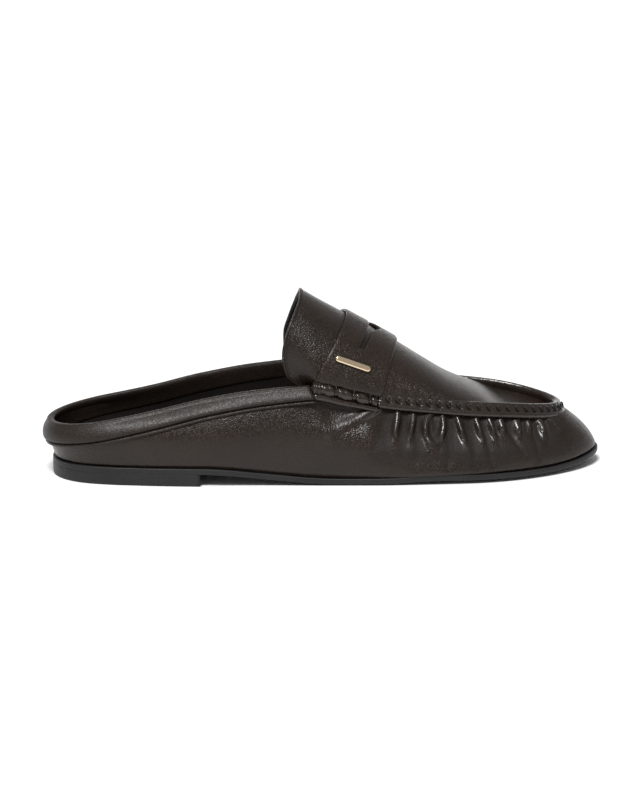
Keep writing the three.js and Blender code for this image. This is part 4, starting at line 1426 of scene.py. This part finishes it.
# Section of the collar: millimetres down from the rim and out from the wall's face.
COLLAR_OUTSIDE = [
    (9.7, 0.05), (9.65, 0.6), (9.4, 1.1), (8.95, 1.25), (8.5, 1.15), (8.25, 0.7), (8.1, 0.15),
    (7.8, 0.15), (7.65, 0.9), (7.4, 1.6), (6.6, 1.72), (5.4, 1.62), (4.0, 1.48), (2.6, 1.33),
    (1.4, 1.2), (0.4, 1.08),
]
COLLAR_CROWN_SHARE = [0, 0, 0, 0, 0, 0, 0, 0, 0, 0.1, 0.45, 0.85, 1.0, 0.8, 0.45, 0.1]
COLLAR_INSIDE = [
    (0.5, 0.35), (1.5, 0.5), (3.0, 0.55), (5.0, 0.55), (7.5, 0.5), (8.8, 0.45), (9.3, 0.3), (9.4, 0.05),
]
COLLAR_FOLD = 9


def collar_rings(stations, side, crown):
    """Closed sections of the collar's binding round the rim."""
    a = stations
    depth = np.linalg.norm(topline_point(a, side) - feather_point(a, side), axis=-1)
    one = np.ones_like(a)
    out = outline_normal(a, side)
    up = np.array([0.0, 0.0, 1.0])
    ring = []
    for (down, rise), share in zip(COLLAR_OUTSIDE, COLLAR_CROWN_SHARE):
        v = 1 - down / depth
        plumb = 0.07 * down * (1 - smooth((along_share(a) * SOLE_LENGTH - 2) / 16)) * (down < 9.5)
        reach = (rise + share * crown + plumb)[..., None]
        ring.append(wall_point(a, v, side) + wall_normal(a, v, side) * reach)
    rim = topline_point(a, side)
    high = 1.02
    low = -UPPER_WALL - 0.4
    for turn in np.linspace(0, math.pi, COLLAR_FOLD + 2)[1:-1]:
        reach = (high + low) / 2 + (high - low) / 2 * math.cos(turn)
        ring.append(rim + out * reach + up * (0.35 + 1.1 * math.sin(turn) ** 0.5))
    for down, rise in COLLAR_INSIDE:
        v = 1 - down / depth
        ring.append(wall_point(a, v, side, UPPER_WALL) - wall_normal(a, v, side) * rise)
    ring.append(wall_point(a, 1 - 8.0 / depth, side, UPPER_WALL) - out * 0.04)
    ring.append(wall_point(a, one, side, UPPER_WALL) - out * 0.04)
    ring.append(rim - out * (UPPER_WALL + 0.04) + up * 0.06)
    ring.append(rim + out * 0.04 + up * 0.06)
    ring.append(wall_point(a, 1 - 4.0 / depth, side) + out * 0.04)
    ring.append(wall_point(a, 1 - 8.5 / depth, side) + out * 0.04)
    return np.stack(ring, axis=1)


class LOAFER_OT_collar(Operator):
    """Builds the padded collar with the piping under its band"""

    bl_idname = "loafer.collar"
    bl_label = "Collar"

    def execute(self, context):
        crown = context.scene.loafer_shape.collar_crown / MM
        end = topline_share(THROAT - 3.2)
        stations = np.linspace(0, end, 120)
        outer = collar_rings(stations[::-1], OUTER, crown)
        inner = collar_rings(stations[1:], INNER, crown)
        shell = ring_tube(np.concatenate([outer, inner]))
        add_shell("collar_binding", shell, collar_hide(), ("collar",))
        return {"FINISHED"}


def strap_back(q):
    """Back edge of the strap, q across the instep."""
    return STRAP_BACK - STRAP_FLARE * np.abs(q) ** STRAP_FLARE_CURVE


def strap_front(q):
    """Front edge of the strap, swept back towards its ends."""
    sweep = np.hypot(q, STRAP_FRONT_ROUND) - STRAP_FRONT_ROUND
    return STRAP_BACK + STRAP_WIDTH - STRAP_FRONT_SWEEP * sweep


class LOAFER_OT_strap(Operator):
    """Builds the saddle strap with its slot"""

    bl_idname = "loafer.strap"
    bl_label = "Saddle Strap"

    def execute(self, context):
        half = np.concatenate([np.linspace(0, SLOT_REACH, 21), np.linspace(SLOT_REACH, STRAP_END, 19)[1:]])
        q = np.concatenate([-half[::-1], half[1:]])
        back = strap_back(q)
        front = strap_front(q)
        opening = mix(SLOT_WIDTH, SLOT_END_WIDTH, smooth(np.abs(q) / SLOT_TAPER))
        slot = (back + SLOT_SET, back + SLOT_SET + opening)
        lanes = [mix(back, slot[0], t) for t in np.linspace(0, 1, 10)]
        lanes += [mix(slot[0], slot[1], t) for t in (0.33, 0.67)]
        lanes += [mix(slot[1], front, t) for t in np.linspace(0, 1, 10)]
        x = np.stack(lanes, axis=1)
        qq = np.broadcast_to(q[:, None], x.shape)
        waves = np.sin(x * 1.05 + 0.6) * 0.35 + np.sin(x * 0.62) * 0.2
        ripple = smooth((np.abs(qq) - 0.78) / 0.15) * waves
        low = top_offset(x, qq, FIT_GAP - 0.1)
        high = top_offset(x, qq, FIT_GAP + STRAP_WALL + ripple[..., None])
        faces = grid_faces(len(q), x.shape[1])
        row = faces[:, 0] // x.shape[1]
        col = faces[:, 0] % x.shape[1]
        in_slot = (np.abs((q[row] + q[row + 1]) / 2) < SLOT_REACH) & (col >= 9) & (col < 12)
        shell = closed_shell(high, low, faces[~in_slot], roundness=0.8, steps=4)
        add_shell("strap_leather", shell, leather(), ("strap",))
        return {"FINISHED"}


def topline_frame(a, side):
    """Points of the top line and the outward directions there."""
    step = 0.004
    run = topline_point(np.minimum(a + step, 1), side) - topline_point(np.maximum(a - step, 0), side)
    out = unit(stack(-side * run[..., 1], side * run[..., 0], 0.0))
    tip = stack(1.0, 0.0, np.zeros_like(a))
    out = np.where((a >= 1)[..., None], tip, out)
    return topline_point(a, side), out


# Section of the raised seam, millimetres out from the top line and up from it: an upper bead, a web
# that the thread is whipped over and a lower bead.
SEAM_SECTION = [
    (-1.5, -1.6), (-2.0, 0.6), (-1.95, 1.9), (-1.6, 2.75), (-0.95, 3.15), (-0.3, 3.05), (0.15, 2.75),
    (0.4, 2.3), (0.55, 1.85), (0.7, 1.35), (0.9, 0.85), (1.1, 0.35), (1.3, -0.15), (1.7, -0.45),
    (2.2, -0.8), (2.6, -1.35), (2.8, -2.05), (2.65, -2.75), (2.2, -3.25), (1.5, -3.4), (0.4, -2.9),
]


# The thread pulls the web in at each stitch, over this many millimetres either way.
PINCH_REACH = 0.8
# Height of the web's middle over the top line, and its half height.
WEB_UP = 0.85
WEB_HALF = 0.95
# How far a whip stitch leans forward and out for each millimetre that it goes down.
WHIP_LEAN = 1.1
WHIP_OUT = 0.42


class LOAFER_OT_seam(Operator):
    """Builds the raised seam round the apron and whips it with thread"""

    bl_idname = "loafer.seam"
    bl_label = "Apron Seam"

    def execute(self, context):
        shape = context.scene.loafer_shape
        start = topline_share(ROLL_START + ROLL_LENGTH - 1.0)
        half = np.linspace(start, 1, 260)
        a = np.concatenate([half, half[:-1][::-1]])
        side = np.concatenate([np.full(len(half), OUTER), np.full(len(half) - 1, INNER)])
        centre, out = topline_frame(a, side)
        run = np.concatenate([[0], np.cumsum(np.linalg.norm(np.diff(centre, axis=0), axis=1))])
        pitch = run[-1] / round(run[-1] / (shape.whip_pitch / MM))
        phase = run / pitch
        pinch = np.exp(-(((phase - np.round(phase)) * pitch / PINCH_REACH) ** 2))
        toe = 1.1 * smooth((a - 0.8) / 0.2)
        section = np.array(SEAM_SECTION)
        rings = np.zeros((len(a), len(section), 3))
        for k, (reach, up) in enumerate(section):
            web = math.exp(-(((up - WEB_UP) / WEB_HALF) ** 2)) if reach > 0 else 0.0
            inward = (0.9 * pinch - 0.25 * (1 - pinch)) * web + 0.12 * pinch * (up > 2)
            wide = reach * (1 + toe) if reach < 0 else reach - 0.6 * toe
            rings[:, k] = centre + out * (wide - inward)[:, None]
            rings[:, k, 2] += up
        add_shell("seam_leather", ring_tube(rings), stretched_hide(), ("apron_seam",))
        place, along, _ = spaced(centre, pitch)
        place, along = place[:-1] + (place[1:] - place[:-1]) / 2, along[:-1]
        sideways = unit(np.cross(along, (0, 0, 1.0)))
        middle = centre[len(centre) // 2] - np.array([APRON_ROUND, 0, 0])
        sideways = sideways * np.sign(np.sum(sideways * (place - middle), axis=1))[:, None]
        lean = along * WHIP_LEAN + np.array([0, 0, -1.0]) + sideways * WHIP_OUT
        web = unit(sideways + np.array([0, 0, WHIP_OUT]))
        place = place + sideways * 0.95 + np.array([0, 0, WEB_UP])
        add_stitches("whip_stitches", place, lean, web, 2.7, 0.3, shape.thread / MM / 2)
        return {"FINISHED"}


def roll_parts(side):
    """Bulging roll over the strap's end with its thread, and the smooth lip under it."""
    first, last = BULGES[0], BULGES[-1]
    x = np.linspace(first["x"] - first["half"], last["x"] + last["half"], 190)
    places = [bulge["x"] for bulge in BULGES]
    up = np.interp(x, places, [bulge["up"] for bulge in BULGES])
    near = np.min([np.abs(x - bulge["x"]) / bulge["half"] for bulge in BULGES], axis=0)
    swell = np.interp(x, places, [bulge["radius"] for bulge in BULGES])
    swell = swell * (0.62 + 0.38 * np.sqrt(1 - np.clip(near, 0, 1) ** 2.6))
    ends = smooth((x - x[0]) / 1.5) * smooth((x[-1] - x) / 1.0)
    radius = swell * (0.45 + 0.55 * ends)
    wrinkle = 0.3 * np.sin(x * 4.2) * smooth((first["x"] + first["half"] - x) / 1.5)
    centre, out = topline_frame(topline_share(x + ORIGIN[0]), side)
    turns = np.linspace(0, 2 * math.pi, 29)[:-1]
    rings = np.zeros((len(x), len(turns), 3))
    for k, turn in enumerate(turns):
        twist = 0.12 * np.sin(x * 1.7 + 2 * turn)
        reach = radius + (wrinkle + twist) * ends
        rings[:, k] = centre + out * (0.8 + reach * math.cos(turn))[:, None]
        rings[:, k, 2] += up + reach * 0.92 * math.sin(turn)
    roll = ring_tube(rings)
    lip_x = np.linspace(first["x"] - 3.6, last["x"] + 2.4, 90)
    centre, out = topline_frame(topline_share(lip_x + ORIGIN[0]), side)
    fat = 1.7 * (0.35 + 0.65 * smooth((lip_x - lip_x[0]) / 3) * smooth((lip_x[-1] - lip_x) / 2))
    fat = fat * (1 - 0.28 * smooth((lip_x - lip_x[0] - 8) / 18))
    sag = -3.3 - 1.0 * smooth((lip_x - lip_x[0]) / 14)
    rings = np.zeros((len(lip_x), 20, 3))
    for k, turn in enumerate(np.linspace(0, 2 * math.pi, 21)[:-1]):
        rings[:, k] = centre + out * (2.3 + fat * 0.95 * math.cos(turn))[:, None]
        rings[:, k, 2] += sag + fat * math.sin(turn)
    lip = ring_tube(rings)
    return joined([roll, lip])


class LOAFER_OT_rolls(Operator):
    """Builds the two rolls that bind the strap's ends"""

    bl_idname = "loafer.rolls"
    bl_label = "Strap Rolls"

    def execute(self, context):
        starts = np.array([bulge["x"] - bulge["half"] for bulge in BULGES[1:]])
        ends = np.array([bulge["x"] + bulge["half"] for bulge in BULGES[:-1]])
        gaps = (starts + ends) / 2
        for node, side in (("roll_outer", OUTER), ("roll_inner", INNER)):
            add_shell(f"{node}_leather", roll_parts(side), stretched_hide(), (node,))
            centre, out = topline_frame(topline_share(gaps + ORIGIN[0]), side)
            place = centre + out * 1.2 + np.array([0, 0, 0.2])
            along = np.broadcast_to((0.12, 0.0, 1.0), place.shape)
            add_stitches(f"{node}_thread", place, along, out, 4.6, 1.0, 0.3)
        return {"FINISHED"}


def plate(rings, underside, topside, count, over_heel=None):
    """Closed plate from outlines set in from the sole's edge, each at a share of the height.

    Its lower edge is kept square over the heel where over_heel gives the most it may be set in there.
    """
    a, side = around(np.linspace(0, 1, count))
    layers = []
    for inset, lift in rings:
        inset = np.full(len(a), inset)
        if over_heel is not None and lift < 0.4:
            seated = smooth((HEEL_LENGTH + 3 - along_share(a) * SOLE_LENGTH) / 4)
            inset = np.where(inset < 1, mix(inset, np.minimum(inset, over_heel), seated), inset)
        point = outline_point(a, side) - outline_normal(a, side) * inset[:, None]
        low = underside(point[:, 0], inset)
        high = topside(point[:, 0], inset)
        point[:, 2] = mix(low, high, lift)
        layers.append(point)
    points = np.stack(layers)
    ring = points.shape[1]
    faces = [tuple(face) for face in grid_faces(len(rings), ring, wrap=True)]
    for first, flip in ((0, True), ((len(rings) - 1) * ring, False)):
        for i in range(count - 1):
            corners = [i, i + 1, (ring - i - 1) % ring, (ring - i) % ring]
            corners = list(dict.fromkeys(first + corner for corner in corners))
            faces.append(tuple(reversed(corners)) if flip else tuple(corners))
    return points.reshape(-1, 3), faces


class LOAFER_OT_sole(Operator):
    """Builds the outsole and the heel block"""

    bl_idname = "loafer.sole"
    bl_label = "Sole and Heel"

    def execute(self, context):
        rings = [
            (22.0, 0.0), (12.0, 0.0), (8.0, 0.0), (4.0, 0.0), (1.2, 0.0), (0.5, 0.03), (0.12, 0.14),
            (0.0, 0.3), (0.0, 0.5), (0.02, 0.68), (0.08, 0.78), (0.02, 0.86), (0.12, 0.95),
            (0.5, 1.0), (1.2, 1.0), (4.0, 1.0), (8.0, 1.0), (12.0, 1.0), (22.0, 1.0),
        ]
        shell = plate(rings, sole_bottom, sole_top, 150, over_heel=0.0)
        add_shell("sole", shell, sole_hide(), ("outsole",))
        self.make_heel()
        return {"FINISHED"}

    def make_heel(self):
        end = outline_share(HEEL_LENGTH / SOLE_LENGTH)
        stations = np.linspace(0, end, 60)
        layers = []
        top = HEEL_HEIGHT - 0.01
        rows = [
            (2.2, 0.0), (0.6, 0.0), (0.2, 0.2), (0.0, 0.6), (0.0, top - 0.6), (0.0, top - 0.1),
            (0.03, top), (2.2, top),
        ]
        for inset, height in rows:
            step = HEEL_SET_IN - 0.08 + inset
            outer = outline_point(stations, OUTER) - outline_normal(stations, OUTER) * step
            inner = outline_point(stations, INNER) - outline_normal(stations, INNER) * step
            share = np.linspace(-1, 1, 41)[1:-1]
            breast_x = HEEL_LENGTH - inset - HEEL_BREAST_CURVE * (1 - share**2)
            ends = HEEL_LENGTH - inset
            outer[-1, 0] = ends
            inner[-1, 0] = ends
            breast = stack(breast_x, mix(outer[-1, 1], inner[-1, 1], (share + 1) / 2), 0.0)
            ring = np.concatenate([outer, breast, inner[1:][::-1]])
            ring[:, 2] = height
            layers.append(ring)
        add_shell("heel_block", ring_tube(np.stack(layers)), sole_hide(), ("heel",))


class LOAFER_OT_insole(Operator):
    """Builds the padded insole"""

    bl_idname = "loafer.insole"
    bl_label = "Insole"

    def execute(self, context):
        edge = SOLE_EDGE + UPPER_WALL + INSOLE_CLEARANCE
        rings = [
            (24.0, 0.0), (edge + 2, 0.0), (edge + 0.3, 0.05), (edge, 0.35), (edge, 0.75), (edge + 0.3, 0.95),
            (edge + 1, 1.05), (edge + 3, 1.02), (edge + 7, 0.97), (edge + 12, 0.94), (24.0, 0.93),
        ]
        shell = plate(
            rings,
            lambda x, inset: sole_top(x, inset) + FIT_GAP,
            lambda x, inset: sole_top(x, inset) + FIT_GAP + INSOLE_THICKNESS,
            120,
        )
        add_shell("insole_leather", shell, lining_hide(), ("insole",))
        return {"FINISHED"}


class LOAFER_OT_bar(Operator):
    """Builds the plain metal bar"""

    bl_idname = "loafer.bar"
    bl_label = "Metal Bar"

    def execute(self, context):
        q = np.array(BAR_PLACE)
        x = (strap_back(q) + strap_front(q)) / 2 - BAR_SET_BACK
        half = BAR_LENGTH / 2 - BAR_WIDTH / 2
        ahead = top_point(x + half, q)
        behind = top_point(x - half, q)
        along = unit(ahead - behind)
        seat = top_offset(x, q, FIT_GAP + STRAP_WALL + BAR_CLEARANCE)
        normal = unit(top_offset(x, q, 1.0) - top_point(x, q))
        across = unit(np.cross(normal, along))
        normal = np.cross(along, across)
        rows = [
            (0.0, 0.0), (0.55, 0.0), (0.85, 0.06), (1.0, 0.3), (1.0, 0.55), (0.86, 0.82), (0.6, 0.96),
            (0.0, 1.0),
        ]
        rings = []
        for wide, high in rows:
            ring = []
            radius = max(BAR_WIDTH / 2 * wide, 0.02) * 0.93
            for end, start in ((half, -math.pi / 2), (-half, math.pi / 2)):
                for turn in np.linspace(start, start + math.pi, 17):
                    corner = (end + radius * math.cos(turn), radius * math.sin(turn))
                    ring.append((*corner, BAR_THICKNESS * high))
            rings.append(ring)
        local = np.array(rings)
        points = seat + local[..., :1] * along + local[..., 1:2] * across + local[..., 2:] * normal
        gold = metal_material("pale_gold", context.scene.loafer_finish.metal_colour)
        add_shell("metal_bar", ring_tube(points), gold, ("bar",))
        return {"FINISHED"}


# Metres, but for the directions.
FLOOR_FRONT = -3.0
FLOOR_BACK = 4.0
FLOOR_SIDE = 4.0
BACKDROP_HEIGHT = 1.3
KEY_DIRECTION = (0.17, 0.5, -0.85)
BACK_PLACE = (0.1, 0.75, 0.8)
BACK_SIZE = (1.6, 0.3)
LIGHT_TARGET = (0.09, 0.0, 0.04)
WORLD_LIGHT = 0.36
CAMERA_TARGET = (0.093, 0.0, 0.04)
# How far the target lies right of and above the middle of the picture.
TARGET_RIGHT = 0.00388
TARGET_UP = 0.00822
PIXELS_PER_METRE = 2190
PICTURE_WIDTH = 640
SENSOR_WIDTH = 36.0


class LOAFER_OT_stage(Operator):
    """Builds the floor, the lights and the camera"""

    bl_idname = "loafer.stage"
    bl_label = "Stage"

    def execute(self, context):
        self.make_floor()
        self.make_lights(context)
        self.make_camera(context)
        return {"FINISHED"}

    def make_floor(self):
        turns = np.linspace(0, math.pi / 2, 25)
        bend = [(FLOOR_BACK + math.sin(t), 1.0 - math.cos(t)) for t in turns]
        line = [(FLOOR_FRONT, 0.0), *bend, (FLOOR_BACK + 1.0, BACKDROP_HEIGHT)]
        rows = [[(x, y, z) for y, z in line] for x in (-FLOOR_SIDE, FLOOR_SIDE)]
        mesh = bpy.data.meshes.new("floor")
        mesh.from_pydata([p for row in rows for p in row], [], grid_faces(2, len(line))[:, ::-1].tolist())
        mesh.shade_smooth()
        floor = bpy.data.objects.new("floor", mesh)
        bpy.context.scene.collection.objects.link(floor)
        material = bpy.data.materials.new("paper")
        material.use_nodes = True
        tree = material.node_tree
        shader = tree.nodes["Principled BSDF"]
        place = add_node(tree, "ShaderNodeTexCoord").outputs["Object"]
        fibres = add_node(tree, "ShaderNodeTexNoise", inputs={"Scale": 900.0}, links={"Vector": place})
        bump = add_node(
            tree,
            "ShaderNodeBump",
            inputs={"Strength": 0.2, "Distance": 0.0001},
            links={"Height": fibres.outputs["Fac"]},
        )
        tree.links.new(bump.outputs["Normal"], shader.inputs["Normal"])
        shader.inputs["Base Color"].default_value = (0.93, 0.93, 0.93, 1)
        shader.inputs["Roughness"].default_value = 0.8
        mesh.materials.append(material)

    def make_lights(self, context):
        stage = context.scene.loafer_stage
        key = bpy.data.lights.new("key", "SUN")
        key.energy = stage.key_power
        key.angle = stage.key_size
        holder = bpy.data.objects.new("key", key)
        holder.rotation_euler = Vector(KEY_DIRECTION).to_track_quat("-Z", "Y").to_euler()
        bpy.context.scene.collection.objects.link(holder)
        lamp = bpy.data.lights.new("back", "AREA")
        lamp.shape = "RECTANGLE"
        lamp.size, lamp.size_y = BACK_SIZE
        lamp.energy = stage.back_power
        place = Vector(BACK_PLACE)
        holder = bpy.data.objects.new("back", lamp)
        holder.location = place
        holder.rotation_euler = (Vector(LIGHT_TARGET) - place).to_track_quat("-Z", "Y").to_euler()
        bpy.context.scene.collection.objects.link(holder)
        world = bpy.data.worlds.new("studio")
        world.use_nodes = True
        background = world.node_tree.nodes["Background"]
        background.inputs["Color"].default_value = (1, 1, 1, 1)
        background.inputs["Strength"].default_value = WORLD_LIGHT
        context.scene.world = world
        context.scene.view_settings.view_transform = "Standard"

    def make_camera(self, context):
        stage = context.scene.loafer_stage
        yaw, rise = stage.yaw, stage.elevation
        level = math.cos(rise)
        look = Vector((math.sin(yaw) * level, math.cos(yaw) * level, -math.sin(rise)))
        right = Vector((math.cos(yaw), -math.sin(yaw), 0))
        up = right.cross(look)
        target = Vector(CAMERA_TARGET) - right * TARGET_RIGHT - up * TARGET_UP
        camera = bpy.data.cameras.new("camera")
        camera.sensor_fit = "HORIZONTAL"
        camera.sensor_width = SENSOR_WIDTH
        camera.lens = SENSOR_WIDTH * PIXELS_PER_METRE * stage.distance / PICTURE_WIDTH
        holder = bpy.data.objects.new("camera", camera)
        holder.location = target - look * stage.distance
        holder.rotation_euler = look.to_track_quat("-Z", "Y").to_euler()
        camera.clip_start = 0.05
        context.scene.collection.objects.link(holder)
        context.scene.camera = holder


OPERATORS = (
    LOAFER_OT_wall,
    LOAFER_OT_apron,
    LOAFER_OT_lining,
    LOAFER_OT_collar,
    LOAFER_OT_strap,
    LOAFER_OT_seam,
    LOAFER_OT_rolls,
    LOAFER_OT_sole,
    LOAFER_OT_insole,
    LOAFER_OT_bar,
    LOAFER_OT_stage,
)


class LOAFER_PT_panel(Panel):
    """Lists the sizes, the finish and the steps"""

    bl_idname = "LOAFER_PT_panel"
    bl_label = "Loafer Mule"
    bl_space_type = "VIEW_3D"
    bl_region_type = "UI"
    bl_category = "Loafer"

    def draw(self, context):
        for group in (context.scene.loafer_shape, context.scene.loafer_finish, context.scene.loafer_stage):
            box = self.layout.box()
            for name in group.__annotations__:
                box.prop(group, name)
        for operator in OPERATORS:
            self.layout.operator(operator.bl_idname)


CLASSES = (LoaferShape, LoaferFinish, LoaferStage, *OPERATORS, LOAFER_PT_panel)


def register():
    for item in CLASSES:
        bpy.utils.register_class(item)
    bpy.types.Scene.loafer_shape = PointerProperty(type=LoaferShape)
    bpy.types.Scene.loafer_finish = PointerProperty(type=LoaferFinish)
    bpy.types.Scene.loafer_stage = PointerProperty(type=LoaferStage)


def unregister():
    del bpy.types.Scene.loafer_stage
    del bpy.types.Scene.loafer_finish
    del bpy.types.Scene.loafer_shape
    for item in reversed(CLASSES):
        bpy.utils.unregister_class(item)


def main():
    register()
    bpy.ops.loafer.wall()
    bpy.ops.loafer.apron()
    bpy.ops.loafer.lining()
    bpy.ops.loafer.collar()
    bpy.ops.loafer.strap()
    bpy.ops.loafer.seam()
    bpy.ops.loafer.rolls()
    bpy.ops.loafer.sole()
    bpy.ops.loafer.insole()
    bpy.ops.loafer.bar()
    bpy.ops.loafer.stage()


if __name__ == "__main__":
    main()
